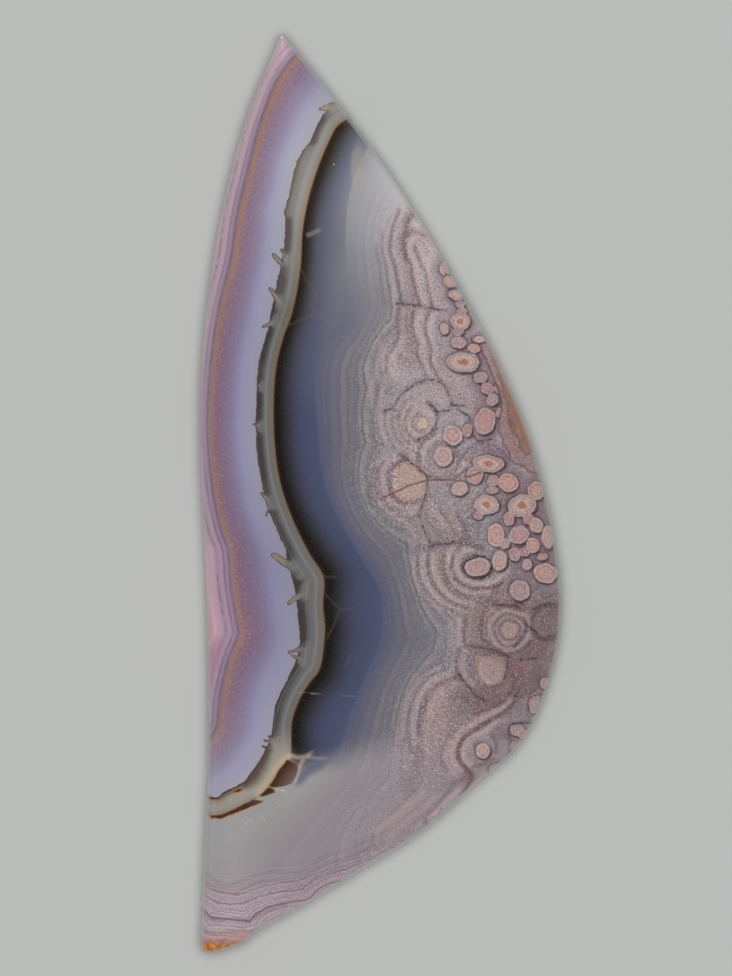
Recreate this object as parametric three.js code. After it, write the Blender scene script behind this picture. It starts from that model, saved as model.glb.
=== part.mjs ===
// A freeform agate cabochon, one piece of stone: a flat back with a chamfered rim, a plain
// girdle wall that leans in at the top, and a low polished face that rises in a rounded
// shoulder and a gentle crown. Millimetres, +Z up. It lies on its back on z = 0, with its
// length along Y, its pointed end at +Y, and the middle of its outline on the Z axis.
import * as THREE from "three";

// Driving dimensions
const THICKNESS = 5.0; // from the back to the top of the crown
const GIRDLE_TOP = 2.6; // height where the wall ends and the face begins
const WALL_LEAN_START = 1.9; // height where the wall starts to lean in
const WALL_LEAN = 0.12; // how far in the wall's top edge is
const BACK_CHAMFER = 0.3; // width and height of the chamfer round the back
const SHOULDER_WIDTH = 1.2; // the rounded shoulder, measured in from the girdle
const SHOULDER_RISE = 0.8;
const FOOT_BOW = 0.08; // how far the short cut at the foot bulges
const CROWN_RISE = THICKNESS - GIRDLE_TOP - SHOULDER_RISE;

// Fineness of the faceted surface
const ROWS = 64; // along the stone
const COLUMNS = 28; // across the face
const EVEN_SHARE = 0.4; // share of even spacing; the rest crowds towards the ends
const ARC_DIVISIONS = 1200; // steps used to measure a side's length
const SIDE_BLEND = 3; // how sharply the distances to the sides meet on the ridge

// The two sides run from the foot of the stone up to its point, and a short cut joins them
// at the foot.
const LEFT_SIDE = [
  [-9.84, -24.99],
  [-9.67, -20.1],
  [-9.44, -15.1],
  [-9.43, -10.1],
  [-9.58, -4.1],
  [-9.82, 0.9],
  [-9.84, 5.9],
  [-9.53, 9.9],
  [-8.97, 13.9],
  [-8.1, 17.9],
  [-7.2, 20.9],
  [-6.23, 23.25],
  [-5.43, 25.15],
];
const RIGHT_SIDE = [
  [-8.97, -25.15],
  [-7.47, -24.57],
  [-6.66, -23.92],
  [-3.9, -22.35],
  [-1.14, -20.66],
  [2.13, -18.59],
  [5.05, -16.08],
  [7.31, -14.09],
  [8.57, -12.09],
  [9.54, -9.09],
  [9.87, -6.09],
  [9.6, -3.09],
  [9.02, -0.09],
  [7.95, 3.56],
  [6.27, 7.47],
  [4.29, 11.25],
  [2.17, 14.91],
  [0.21, 17.91],
  [-1.7, 20.46],
  [-3.63, 22.95],
  [-5.43, 25.15],
];

// Places from 0 to 1 that crowd a little towards both ends.
function spacing(count) {
  const places = [];
  for (let i = 0; i <= count; i++) {
    const even = i / count;
    const crowded = (1 - Math.cos(Math.PI * even)) / 2;
    places.push(EVEN_SHARE * even + (1 - EVEN_SHARE) * crowded);
  }
  return places;
}

// Points on a smooth curve through the given ones, at the given shares of its length.
function sidePoints(corners, places) {
  const curve = new THREE.SplineCurve(
    corners.map(([x, y]) => new THREE.Vector2(x, y)),
  );
  curve.arcLengthDivisions = ARC_DIVISIONS;
  return places.map((place) => curve.getPointAt(place));
}

// The outline as one ring, counter-clockwise seen from above: along the foot, up the right
// side to the point, and down the left side.
function outlineRing(left, right, columnPlaces) {
  const foot = columnPlaces.slice(1, -1).map((place) => {
    const point = left[0].clone().lerp(right[0], place);
    point.y -= FOOT_BOW * Math.sin(Math.PI * place);
    return point;
  });
  const down = left.slice(0, -1).reverse();
  return [...foot, ...right, ...down];
}

// The ring moved in by a distance, with mitred corners.
function insetRing(ring, amount) {
  const count = ring.length;
  return ring.map((point, i) => {
    const before = point.clone().sub(ring[(i + count - 1) % count]).normalize();
    const after = ring[(i + 1) % count].clone().sub(point).normalize();
    const inwards = new THREE.Vector2(
      -before.y - after.y,
      before.x + after.x,
    ).normalize();
    const halfTurn = -before.y * inwards.x + before.x * inwards.y;
    return point.clone().addScaledVector(inwards, amount / halfTurn);
  });
}

function distanceToLine(point, line) {
  let least = Infinity;
  for (let i = 1; i < line.length; i++) {
    const along = line[i].clone().sub(line[i - 1]);
    const offset = point.clone().sub(line[i - 1]);
    const share = THREE.MathUtils.clamp(
      offset.dot(along) / along.lengthSq(),
      0,
      1,
    );
    least = Math.min(least, offset.addScaledVector(along, -share).length());
  }
  return least;
}

// One smooth distance from all three sides, nought on each of them.
function smoothDistance(point, sides) {
  const distances = sides.map((side) => distanceToLine(point, side));
  if (Math.min(...distances) < 1e-6) return 0;
  const sum = distances.reduce((total, d) => total + d ** -SIDE_BLEND, 0);
  return sum ** (-1 / SIDE_BLEND);
}

// Height of the face above the girdle: an elliptic shoulder, and a crown whose slope fades
// out at the ridge.
function faceRise(distance, reach) {
  const s = Math.min(1, distance / SHOULDER_WIDTH);
  const c = Math.min(1, distance / reach);
  return (
    SHOULDER_RISE * Math.sqrt(1 - (1 - s) ** 2) +
    CROWN_RISE * (1 - (1 - c) ** 2)
  );
}

// The closed surface of the stone.
function stoneGeometry() {
  const rowPlaces = spacing(ROWS);
  const columnPlaces = spacing(COLUMNS);
  const ring = outlineRing(
    sidePoints(LEFT_SIDE, rowPlaces),
    sidePoints(RIGHT_SIDE, rowPlaces),
    columnPlaces,
  );
  const vertices = [];
  const triangles = [];

  const addVertex = (point, z) => {
    vertices.push(point.x, point.y, z);
    return vertices.length / 3 - 1;
  };
  const addRing = (points, z) => points.map((point) => addVertex(point, z));
  const joinRings = (lower, upper) => {
    lower.forEach((a, i) => {
      const next = (i + 1) % lower.length;
      triangles.push(a, lower[next], upper[next]);
      triangles.push(a, upper[next], upper[i]);
    });
  };

  // Wall, from the back's rim to the girdle
  const backRing = insetRing(ring, BACK_CHAMFER);
  const faceRing = insetRing(ring, WALL_LEAN);
  const rimLoop = addRing(backRing, 0);
  const lowLoop = addRing(ring, BACK_CHAMFER);
  const leanLoop = addRing(ring, WALL_LEAN_START);
  const girdleLoop = addRing(faceRing, GIRDLE_TOP);
  joinRings(rimLoop, lowLoop);
  joinRings(lowLoop, leanLoop);
  joinRings(leanLoop, girdleLoop);

  // Places in each ring: the foot comes first, then the right side up to the tip
  const footCount = COLUMNS - 1;
  const tipIndex = footCount + ROWS;
  const rightIndex = (row) => footCount + row;
  const leftIndex = (row) => tipIndex + ROWS - row;

  // Back: a fan over the foot, then a strip from side to side
  const footLoop = [
    rimLoop[leftIndex(0)],
    ...rimLoop.slice(0, footCount),
    rimLoop[rightIndex(0)],
  ];
  const fanCentre = rimLoop[leftIndex(1)];
  for (let i = 1; i < footLoop.length; i++)
    triangles.push(fanCentre, footLoop[i], footLoop[i - 1]);
  triangles.push(fanCentre, rimLoop[rightIndex(1)], rimLoop[rightIndex(0)]);
  for (let row = 1; row < ROWS; row++) {
    const [left, right] = [rimLoop[leftIndex(row)], rimLoop[rightIndex(row)]];
    const [nextLeft, nextRight] = [
      rimLoop[leftIndex(row + 1)],
      rimLoop[rightIndex(row + 1)],
    ];
    triangles.push(left, nextRight, right);
    if (nextLeft !== nextRight) triangles.push(left, nextLeft, nextRight);
  }

  // Face: rows from the left side to the right, which share the girdle's vertices
  const sides = [
    faceRing.slice(tipIndex),
    faceRing.slice(footCount, tipIndex + 1),
    [
      faceRing[leftIndex(0)],
      ...faceRing.slice(0, footCount),
      faceRing[rightIndex(0)],
    ],
  ];
  const inner = [];
  for (let row = 1; row < ROWS; row++) {
    const left = faceRing[leftIndex(row)];
    const right = faceRing[rightIndex(row)];
    inner.push(
      columnPlaces
        .slice(1, -1)
        .map((place) => left.clone().lerp(right, place))
        .map((point) => ({ point, distance: smoothDistance(point, sides) })),
    );
  }
  const reach = Math.max(...inner.flat().map(({ distance }) => distance));
  const innerRows = inner.map((cells) =>
    cells.map(({ point, distance }) =>
      addVertex(point, GIRDLE_TOP + faceRise(distance, reach)),
    ),
  );
  const rowLoops = [
    [
      girdleLoop[leftIndex(0)],
      ...girdleLoop.slice(0, footCount),
      girdleLoop[rightIndex(0)],
    ],
  ];
  innerRows.forEach((cells, i) =>
    rowLoops.push([
      girdleLoop[leftIndex(i + 1)],
      ...cells,
      girdleLoop[rightIndex(i + 1)],
    ]),
  );
  for (let row = 1; row < rowLoops.length; row++) {
    const [low, high] = [rowLoops[row - 1], rowLoops[row]];
    for (let i = 1; i < low.length; i++) {
      triangles.push(low[i - 1], low[i], high[i]);
      triangles.push(low[i - 1], high[i], high[i - 1]);
    }
  }
  const last = rowLoops[rowLoops.length - 1];
  for (let i = 1; i < last.length; i++)
    triangles.push(last[i - 1], last[i], girdleLoop[tipIndex]);

  const geometry = new THREE.BufferGeometry();
  geometry.setAttribute(
    "position",
    new THREE.Float32BufferAttribute(vertices, 3),
  );
  geometry.setIndex(triangles);
  geometry.computeVertexNormals();
  return geometry;
}

const agate = new THREE.Mesh(
  stoneGeometry(),
  new THREE.MeshStandardMaterial({
    color: 0x8b8089,
    roughness: 0.2,
    metalness: 0,
  }),
);
agate.name = "agate";

const stone = new THREE.Group();
stone.add(agate);

export default stone;
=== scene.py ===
"""A coyamito agate: one freeform cabochon of banded and orbed stone, lying on its back.

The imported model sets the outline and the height. This script gives the stone its fine
surface, its growth pattern and its polish, and lays it under a camera that looks straight
down. Lengths in the survey of the face are millimetres; every mesh is in metres.
"""

import enum
import logging
import math
from dataclasses import dataclass, field

import bpy
import numpy as np
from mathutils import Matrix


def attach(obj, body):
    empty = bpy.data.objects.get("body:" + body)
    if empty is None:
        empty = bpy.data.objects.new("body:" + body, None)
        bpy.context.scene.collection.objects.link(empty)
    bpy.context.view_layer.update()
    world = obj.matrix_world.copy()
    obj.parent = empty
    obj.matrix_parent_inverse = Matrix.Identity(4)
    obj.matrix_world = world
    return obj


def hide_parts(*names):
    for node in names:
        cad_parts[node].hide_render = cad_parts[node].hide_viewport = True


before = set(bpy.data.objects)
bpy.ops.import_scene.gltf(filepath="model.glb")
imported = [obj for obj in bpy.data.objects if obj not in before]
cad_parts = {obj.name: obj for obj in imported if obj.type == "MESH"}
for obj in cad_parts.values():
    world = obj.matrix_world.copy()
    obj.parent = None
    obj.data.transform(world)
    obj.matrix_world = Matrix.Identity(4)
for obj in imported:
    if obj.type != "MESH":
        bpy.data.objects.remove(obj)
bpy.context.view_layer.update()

LOG = logging.getLogger("agate")
MM = 0.001
NODE = "agate"
BODY = "root"

Point = tuple[float, float]
Line = tuple[Point, ...]
Colour = tuple[int, int, int]
Stops = tuple[tuple[float, Colour], ...]
Levels = tuple[tuple[float, float], ...]
Span = tuple[float, float]
Chains = tuple[list[int], list[int]]
Ends = tuple[np.ndarray, np.ndarray]
Socket = bpy.types.NodeSocket

# The survey of the face was read from a zero this far off the middle of the outline
SURVEY_SHIFT: Point = (0.03, -0.09)
# Least values that keep a division sound
LEAST_SQUARE = 1e-12
LEAST_GAP = 1e-3


# Plane geometry


def shifted(points: Line) -> np.ndarray:
    """Survey points as an array in the stone's own frame."""
    return np.array(points, dtype=float) + np.array(SURVEY_SHIFT)


def smooth_line(corners: np.ndarray, steps: int) -> np.ndarray:
    """A smooth curve through the given points.

    Args:
        corners: the points that it passes through.
        steps: how many short chords replace each span.

    Returns:
        The points of the curve, first and last corners included.
    """
    before = np.vstack([corners[:1], corners[:-1]])
    after = np.vstack([corners[1:], corners[-1:]])
    slope = (after - before) / 2
    t = (np.arange(steps) / steps)[:, None, None]
    p, q = corners[:-1][None], corners[1:][None]
    u, v = slope[:-1][None], slope[1:][None]
    spans = (
        (2 * t**3 - 3 * t**2 + 1) * p
        + (t**3 - 2 * t**2 + t) * u
        + (3 * t**2 - 2 * t**3) * q
        + (t**3 - t**2) * v
    )
    points = spans.transpose(1, 0, 2).reshape(-1, 2)
    return np.vstack([points, corners[-1:]])


def distance_to_line(places: np.ndarray, line: np.ndarray) -> np.ndarray:
    """How far each place is from a line of short chords."""
    least = np.full(len(places), np.inf)
    start, along = line[:-1], np.diff(line, axis=0)
    length2 = np.maximum((along**2).sum(1), LEAST_SQUARE)
    for s, d, n in zip(start, along, length2):
        offset = places - s
        share = np.clip(offset @ d / n, 0, 1)
        gap = offset - share[:, None] * d
        least = np.minimum(least, (gap**2).sum(1))
    return np.sqrt(least)


def inside(places: np.ndarray, ring: np.ndarray) -> np.ndarray:
    """Which places lie inside a closed ring."""
    hits = np.zeros(len(places), dtype=bool)
    x, y = places[:, 0], places[:, 1]
    for (x1, y1), (x2, y2) in zip(ring, np.roll(ring, -1, axis=0)):
        if y1 == y2:
            continue
        crosses = (y1 > y) != (y2 > y)
        hits ^= crosses & (x < (x2 - x1) * (y - y1) / (y2 - y1) + x1)
    return hits


def ease(values: np.ndarray, low: float, high: float) -> np.ndarray:
    """Nought below low, one above high, and a smooth step between."""
    share = np.clip((values - low) / (high - low), 0, 1)
    return share * share * (3 - 2 * share)


# The stone's form


@dataclass(frozen=True)
class Layer:
    """One level of the wall: how far it is moved in, and how high it lies, in mm."""

    inset: float
    height: float


@dataclass
class StoneForm:
    """The cabochon's body: a flat back, a wall and a low domed face, in mm.

    The outline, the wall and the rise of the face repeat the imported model's.
    """

    thickness: float = 5.0
    girdle_top: float = 2.6
    lean: float = 0.12
    shoulder_width: float = 1.2
    shoulder_rise: float = 0.8
    foot_bow: float = 0.08
    side_blend: float = 3.0
    spacing: float = 0.092
    back_spacing: float = 0.68
    end_crowding: float = 0.3
    map_margin: float = 0.004
    span_steps: int = 12
    probe_count: int = 41
    end_zone: float = 2.0
    end_halvings: int = 30
    side_halvings: int = 22
    least_reach: float = 1e-6
    wall: tuple[Layer, ...] = (
        Layer(0.32, 0.0), Layer(0.28, 0.02), Layer(0.02, 0.28), Layer(0.0, 0.34), Layer(0.0, 0.85),
        Layer(0.0, 1.35), Layer(0.0, 1.88), Layer(0.012, 2.0), Layer(0.108, 2.52),
    )
    left_side: Line = (
        (-9.84, -24.99), (-9.67, -20.1), (-9.44, -15.1), (-9.43, -10.1), (-9.58, -4.1), (-9.82, 0.9),
        (-9.84, 5.9), (-9.53, 9.9), (-8.97, 13.9), (-8.1, 17.9), (-7.2, 20.9), (-6.23, 23.25),
        (-5.43, 25.15),
    )
    right_side: Line = (
        (-8.97, -25.15), (-7.47, -24.57), (-6.66, -23.92), (-3.9, -22.35), (-1.14, -20.66),
        (2.13, -18.59), (5.05, -16.08), (7.31, -14.09), (8.57, -12.09), (9.54, -9.09), (9.87, -6.09),
        (9.6, -3.09), (9.02, -0.09), (7.95, 3.56), (6.27, 7.47), (4.29, 11.25), (2.17, 14.91),
        (0.21, 17.91), (-1.7, 20.46), (-3.63, 22.95), (-5.43, 25.15),
    )
    left: np.ndarray = field(init=False)
    right: np.ndarray = field(init=False)
    foot: np.ndarray = field(init=False)

    def __post_init__(self) -> None:
        """Works out the smooth sides and the foot between them."""
        self.left = smooth_line(np.array(self.left_side), self.span_steps)
        self.right = smooth_line(np.array(self.right_side), self.span_steps)
        share = np.linspace(0, 1, self.span_steps + 1)[:, None]
        bow = np.hstack([0 * share, -self.foot_bow * np.sin(math.pi * share)])
        self.foot = self.left[0] + (self.right[0] - self.left[0]) * share + bow

    def sides_by_height(self) -> tuple[np.ndarray, np.ndarray]:
        """The outline as two chains, each from its lowest point up to the tip."""
        low = int(np.argmin(self.foot[:, 1]))
        left = np.vstack([self.foot[: low + 1][::-1], self.left[1:]])
        right = np.vstack([self.foot[low:], self.right[1:]])
        return left, right

    def edge_distance(self, places: np.ndarray) -> np.ndarray:
        """Plain distance from each place to the outline."""
        whole = np.vstack([self.foot, self.right[1:], self.left[::-1][1:]])
        return distance_to_line(places, whole)

    def smooth_reach(self, places: np.ndarray) -> np.ndarray:
        """One smooth distance from the left side, the right side and the foot."""
        total = np.zeros(len(places))
        for side in (self.left, self.right, self.foot):
            gap = np.maximum(distance_to_line(places, side) - self.lean, self.least_reach)
            total += gap**-self.side_blend
        return total ** (-1 / self.side_blend)

    def widths(self, y: np.ndarray) -> Ends:
        """Where level lines meet the outline, at the left and at the right."""
        left, right = self.sides_by_height()
        return np.interp(y, left[:, 1], left[:, 0]), np.interp(y, right[:, 1], right[:, 0])

    def deepest(self, y: np.ndarray) -> Ends:
        """The x farthest from the outline on each level line, and how far in it is."""
        near, far = self.widths(y)
        tries = np.linspace(0, 1, self.probe_count)
        grid = near[:, None] + (far - near)[:, None] * tries
        rows = np.repeat(y, len(tries))
        found = self.edge_distance(np.column_stack([grid.ravel(), rows])).reshape(grid.shape)
        return grid[np.arange(len(y)), found.argmax(1)], found.max(1)

    def level_range(self, inset: float) -> Span:
        """The lowest and the highest level line that meet the outline moved in."""
        left, _ = self.sides_by_height()
        low, high = left[0, 1], left[-1, 1]
        if inset == 0:
            return low, high
        ends = []
        for edge, middle in ((low, low + self.end_zone), (high, high - self.end_zone)):
            for _ in range(self.end_halvings):
                guess = (edge + middle) / 2
                if self.deepest(np.array([guess]))[1][0] >= inset:
                    middle = guess
                else:
                    edge = guess
            ends.append(middle)
        return ends[0], ends[1]

    def row_ends(self, inset: float, shares: np.ndarray) -> Ends:
        """Where level lines meet the outline moved in by a distance.

        Args:
            inset: how far the outline is moved in.
            shares: the lines' places from 0, the lowest, to 1, the highest.

        Returns:
            The left and right ends, one pair for each share.
        """
        low, high = self.level_range(inset)
        y = low + (high - low) * shares
        ends = self.widths(y)
        if inset > 0:
            centre = self.deepest(y)[0]
            found = []
            for outer in ends:
                a, b = outer.copy(), centre.copy()
                for _ in range(self.side_halvings):
                    mid = (a + b) / 2
                    deep = self.edge_distance(np.column_stack([mid, y])) >= inset
                    b = np.where(deep, mid, b)
                    a = np.where(deep, a, mid)
                found.append((a + b) / 2)
            ends = found
        return np.column_stack([ends[0], y]), np.column_stack([ends[1], y])


@dataclass
class MeshLists:
    """Vertices and triangles while a closed surface is put together."""

    places: list[tuple[float, float, float]] = field(default_factory=list)
    triangles: list[tuple[int, int, int]] = field(default_factory=list)

    def add(self, points: np.ndarray, height: float) -> list[int]:
        """Adds points at one height and gives their numbers."""
        first = len(self.places)
        self.places.extend((float(x), float(y), height) for x, y in points)
        return list(range(first, first + len(points)))

    def face(self, corners: tuple[int, int, int], flip: bool) -> None:
        """Adds one triangle, turned over where asked, unless two corners are one."""
        if len(set(corners)) == 3:
            self.triangles.append(corners[::-1] if flip else corners)

    def zip_rows(self, low: list[int], high: list[int], flip: bool) -> None:
        """Fills the strip between two rows of different counts, along x.

        Args:
            low: the lower row's vertices from left to right.
            high: the upper row's vertices from left to right.
            flip: true where the strip faces down.
        """
        i = j = 0
        while i < len(low) - 1 or j < len(high) - 1:
            if j == len(high) - 1:
                step_low = True
            elif i == len(low) - 1:
                step_low = False
            else:
                next_low = self.places[low[i + 1]][0] - self.places[high[j]][0]
                next_high = self.places[high[j + 1]][0] - self.places[low[i]][0]
                step_low = next_low <= next_high
            if step_low:
                self.face((low[i], low[i + 1], high[j]), flip)
                i += 1
            else:
                self.face((low[i], high[j + 1], high[j]), flip)
                j += 1


class Patch(enum.Enum):
    """The four patches of the skin, and where each lies across the colour map."""

    LEFT_WALL = (0.875, 0.93)
    RIGHT_WALL = (0.94, 0.995)
    BACK = (0.62, 0.865)
    FACE = (0.005, 0.61)


@dataclass
class StoneMesh:
    """Builds the fine closed surface of the stone from its form."""

    form: StoneForm
    lists: MeshLists = field(default_factory=MeshLists)
    patches: dict[Patch, tuple[int, int]] = field(default_factory=dict)
    along: dict[int, float] = field(default_factory=dict)
    across: dict[int, float] = field(default_factory=dict)

    def row_points(self, near: np.ndarray, far: np.ndarray, spacing: float) -> np.ndarray:
        """Points along one level line, a little closer together at its ends."""
        cells = max(1, round((far[0] - near[0]) / spacing))
        even = np.arange(cells + 1) / cells
        wave = self.form.end_crowding * np.sin(2 * math.pi * even) / (2 * math.pi)
        return near + (far - near) * (even - wave)[:, None]

    def plate(
        self,
        rim: Chains,
        ends: Ends,
        height: float,
        spacing: float,
        flip: bool,
    ) -> None:
        """Fills the outline at one height with rows of points that end on its rim.

        Args:
            rim: the left and right chains of rim vertices, lowest first.
            ends: where those chains lie.
            height: the level of the plate.
            spacing: the gap between points in a row.
            flip: true for the back, which faces down.
        """
        before = [rim[0][0]]
        for row in range(1, len(rim[0])):
            left, right = rim[0][row], rim[1][row]
            if left == right:
                loop = [left]
            else:
                points = self.row_points(ends[0][row], ends[1][row], spacing)[1:-1]
                loop = [left, *self.lists.add(points, height), right]
            self.lists.zip_rows(before, loop, flip)
            before = loop

    def rims(self, rows: int) -> list[tuple[Chains, Ends]]:
        """The vertices round the stone at each level of the wall.

        Args:
            rows: how many steps there are from the foot to the tip.

        Returns:
            For each level the left and right chains of vertices, and where they lie.
        """
        form = self.form
        levels = [*form.wall, Layer(form.lean, form.girdle_top)]
        shares = np.linspace(0, 1, rows + 1)
        found = []
        for number, level in enumerate(levels):
            left, right = form.row_ends(level.inset, shares)
            numbers = self.lists.add(np.vstack([left, right[1:-1]]), level.height)
            chains = (numbers[: rows + 1], [numbers[0], *numbers[rows + 1 :], numbers[rows]])
            for chain, line in zip(chains, (left, right)):
                steps = np.linalg.norm(np.diff(line, axis=0), axis=1)
                run = np.concatenate([[0], np.cumsum(steps)])
                self.along.update(zip(chain, run / run[-1]))
            self.across.update((n, number / (len(levels) - 1)) for n in numbers)
            found.append((chains, (left, right)))
        return found

    def build(self) -> None:
        """Puts the wall, the back and the flat plate of the face together."""
        form, lists = self.form, self.lists
        rows = round((form.left_side[-1][1] - form.left_side[0][1]) / form.spacing)
        rims = self.rims(rows)
        for side, patch in enumerate((Patch.LEFT_WALL, Patch.RIGHT_WALL)):
            first = len(lists.triangles)
            for (lower, _), (upper, _) in zip(rims, rims[1:]):
                for row in range(rows):
                    a, b = lower[side][row : row + 2]
                    d, c = upper[side][row : row + 2]
                    lists.face((a, d, c), side == 1)
                    lists.face((a, c, b), side == 1)
            self.patches[patch] = (first, len(lists.triangles))
        first = len(lists.triangles)
        self.plate(*rims[0], form.wall[0].height, form.back_spacing, True)
        self.patches[Patch.BACK] = (first, len(lists.triangles))
        first = len(lists.triangles)
        self.plate(*rims[-1], form.girdle_top, form.spacing, False)
        self.patches[Patch.FACE] = (first, len(lists.triangles))

    def colour_map(self) -> np.ndarray:
        """The skin laid out flat: one pair of coordinates for each triangle corner."""
        places = np.array(self.lists.places)
        triangles = np.array(self.lists.triangles)
        low, high = places.min(0), places.max(0)
        share = (places - low) / (high - low)
        run = np.zeros(len(places))
        rise = np.zeros(len(places))
        run[list(self.along)] = list(self.along.values())
        rise[list(self.across)] = list(self.across.values())
        laid = np.zeros((len(triangles), 3, 2))
        for patch, (first, last) in self.patches.items():
            corners = triangles[first:last]
            if patch in (Patch.LEFT_WALL, Patch.RIGHT_WALL):
                u, v = rise[corners], run[corners]
            else:
                u, v = share[corners, 0], share[corners, 1]
            left, right = patch.value
            margin = self.form.map_margin
            laid[first:last, :, 0] = left + (right - left) * u
            laid[first:last, :, 1] = margin + (1 - 2 * margin) * v
        return laid.reshape(-1, 2)


# The survey of the pattern: lines and growths on the face, in mm


OCHRE_SEAM: Line = (
    (-3.9, 24.7), (-4.42, 23.96), (-5.08, 23.16), (-5.51, 22.47), (-5.88, 21.67), (-6.52, 19.86),
    (-7.1, 17.58), (-7.66, 15.19), (-8.03, 12.69), (-8.59, 10.46), (-9.02, 7.9), (-9.25, 5.2),
    (-9.26, 2.8), (-9.02, 0.4), (-8.61, -1.64), (-8.16, -3.0), (-8.0, -5.0), (-7.62, -7.2), (-7.58, -7.6),
    (-8.13, -9.03), (-8.57, -10.8), (-8.78, -12.6), (-9.07, -13.23), (-9.42, -13.67), (-10.4, -14.6),
)
LILAC_BORDER: Line = (
    (-1.9, 21.9), (-2.46, 21.43), (-3.17, 20.66), (-3.54, 20.02), (-3.86, 19.17), (-4.23, 18.75),
    (-4.58, 18.16), (-4.82, 17.26), (-4.97, 16.41), (-5.29, 15.34), (-5.19, 14.92), (-5.26, 13.96),
    (-5.29, 13.43), (-5.45, 12.48), (-5.67, 11.63), (-5.8, 10.78), (-6.0, 9.82), (-6.16, 8.95),
    (-6.41, 8.17), (-6.66, 7.28), (-6.77, 6.1), (-6.79, 4.94), (-6.84, 3.86), (-6.79, 2.82),
    (-6.71, 1.82), (-6.5, 0.6), (-6.3, -0.4), (-5.99, -1.19), (-5.65, -1.97), (-5.21, -2.92),
    (-4.99, -4.09), (-4.72, -5.0), (-4.6, -5.88), (-4.49, -7.0), (-4.4, -8.0), (-4.62, -9.05),
    (-4.99, -9.78), (-5.43, -10.66), (-5.75, -11.41), (-5.91, -12.42), (-5.97, -13.17), (-6.37, -13.98),
    (-6.81, -14.74), (-7.44, -15.61), (-8.07, -15.93), (-8.57, -16.18), (-8.95, -16.49), (-9.5, -16.43),
    (-10.6, -16.3),
)
DARK_VEIN: Line = (
    (-1.2, 20.95), (-1.73, 20.55), (-2.26, 20.18), (-2.64, 19.65), (-3.33, 18.06), (-3.91, 16.25),
    (-4.26, 14.39), (-4.39, 12.26), (-4.8, 10.0), (-5.38, 8.34), (-5.77, 6.39), (-5.83, 3.49),
    (-5.54, 0.93), (-4.87, -1.19), (-3.93, -3.14), (-3.37, -3.98), (-3.09, -4.7), (-3.16, -6.0),
    (-3.05, -7.4), (-3.3, -9.34), (-3.8, -10.09), (-4.3, -10.85), (-4.68, -11.73), (-4.87, -12.54),
    (-4.89, -13.92), (-4.93, -14.36), (-5.43, -14.8), (-5.93, -15.43), (-6.31, -16.05), (-6.69, -16.41),
    (-7.44, -16.81), (-8.19, -17.18), (-8.82, -17.43), (-9.4, -17.5), (-10.6, -17.5),
)
POOL_EDGE: Line = (
    (0.4, 19.9), (-0.62, 19.07), (-1.41, 17.47), (-1.89, 15.45), (-1.95, 12.4), (-1.81, 10.0),
    (-1.98, 9.23), (-2.98, 8.23), (-3.54, 6.84), (-3.65, 5.72), (-3.45, 3.27), (-3.2, 0.93),
    (-2.42, -1.19), (-1.36, -3.03), (-0.25, -4.93), (0.03, -5.9), (-0.1, -8.0), (-0.92, -9.9),
    (-1.67, -11.8), (-2.17, -13.3), (-2.8, -14.6), (-4.6, -16.2), (-7.0, -17.9), (-10.6, -19.0),
)
POOL_FLOOR: Line = (
    (7.0, -11.4), (4.0, -12.2), (1.0, -12.8), (-1.2, -13.5), (-2.9, -14.05), (-4.0, -14.2),
    (-4.49, -14.36), (-4.9, -13.93), (-5.6, -13.6),
)
FIRST_STRIPE: Line = (
    (1.2, -18.3), (-0.26, -18.95), (-1.2, -19.25), (-2.4, -19.6), (-3.6, -20.1), (-4.5, -20.42),
    (-5.8, -20.52), (-7.0, -20.86), (-7.9, -21.0), (-9.4, -20.86), (-10.6, -20.6),
)
MAIN_STRIPE: Line = (
    (0.6, -19.6), (-0.5, -20.35), (-1.54, -20.92), (-2.67, -21.14), (-3.43, -21.5), (-3.93, -22.02),
    (-4.55, -22.14), (-5.43, -22.27), (-6.31, -22.52), (-6.94, -22.95), (-7.19, -23.18), (-7.94, -23.1),
    (-8.95, -23.08), (-9.26, -23.02), (-9.76, -22.58), (-10.6, -21.9),
)


@dataclass(frozen=True)
class Fin:
    """A pale fin that the river sends into the lilac: a tapering stroke."""

    tip: Point
    root: Point
    tip_width: float
    root_width: float


FINS: tuple[Fin, ...] = (
    Fin((-3.3, 20.98), (-2.45, 21.2), 0.2, 0.55),
    Fin((-5.84, 13.0), (-5.0, 12.1), 0.22, 0.34),
    Fin((-5.42, 13.28), (-5.0, 12.75), 0.18, 0.3),
    Fin((-6.02, 11.18), (-5.2, 10.0), 0.22, 0.38),
    Fin((-6.4, 9.12), (-5.55, 9.5), 0.2, 0.32),
    Fin((-6.83, 6.0), (-6.45, 5.85), 0.08, 0.16),
    Fin((-7.0, 3.84), (-6.5, 3.7), 0.1, 0.18),
    Fin((-6.5, 0.08), (-6.0, -0.5), 0.14, 0.3),
    Fin((-6.26, -1.15), (-5.95, -0.35), 0.1, 0.24),
    Fin((-5.82, -3.3), (-4.5, -4.2), 0.32, 0.48),
    Fin((-4.98, -5.86), (-3.95, -5.1), 0.26, 0.4),
    Fin((-5.0, -8.56), (-4.05, -8.3), 0.16, 0.34),
    Fin((-5.05, -8.62), (-4.15, -9.05), 0.1, 0.3),
    Fin((-6.38, -13.34), (-5.6, -13.6), 0.1, 0.3),
    Fin((-6.46, -13.66), (-5.8, -13.85), 0.08, 0.26),
    Fin((-6.16, -13.08), (-5.7, -13.5), 0.08, 0.24),
)


@dataclass(frozen=True)
class BendCell:
    """A brown cell in the river's bend: a small closed shape that pales from its dark side."""

    corners: Line
    dark_side: Line
    fade: float


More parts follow.
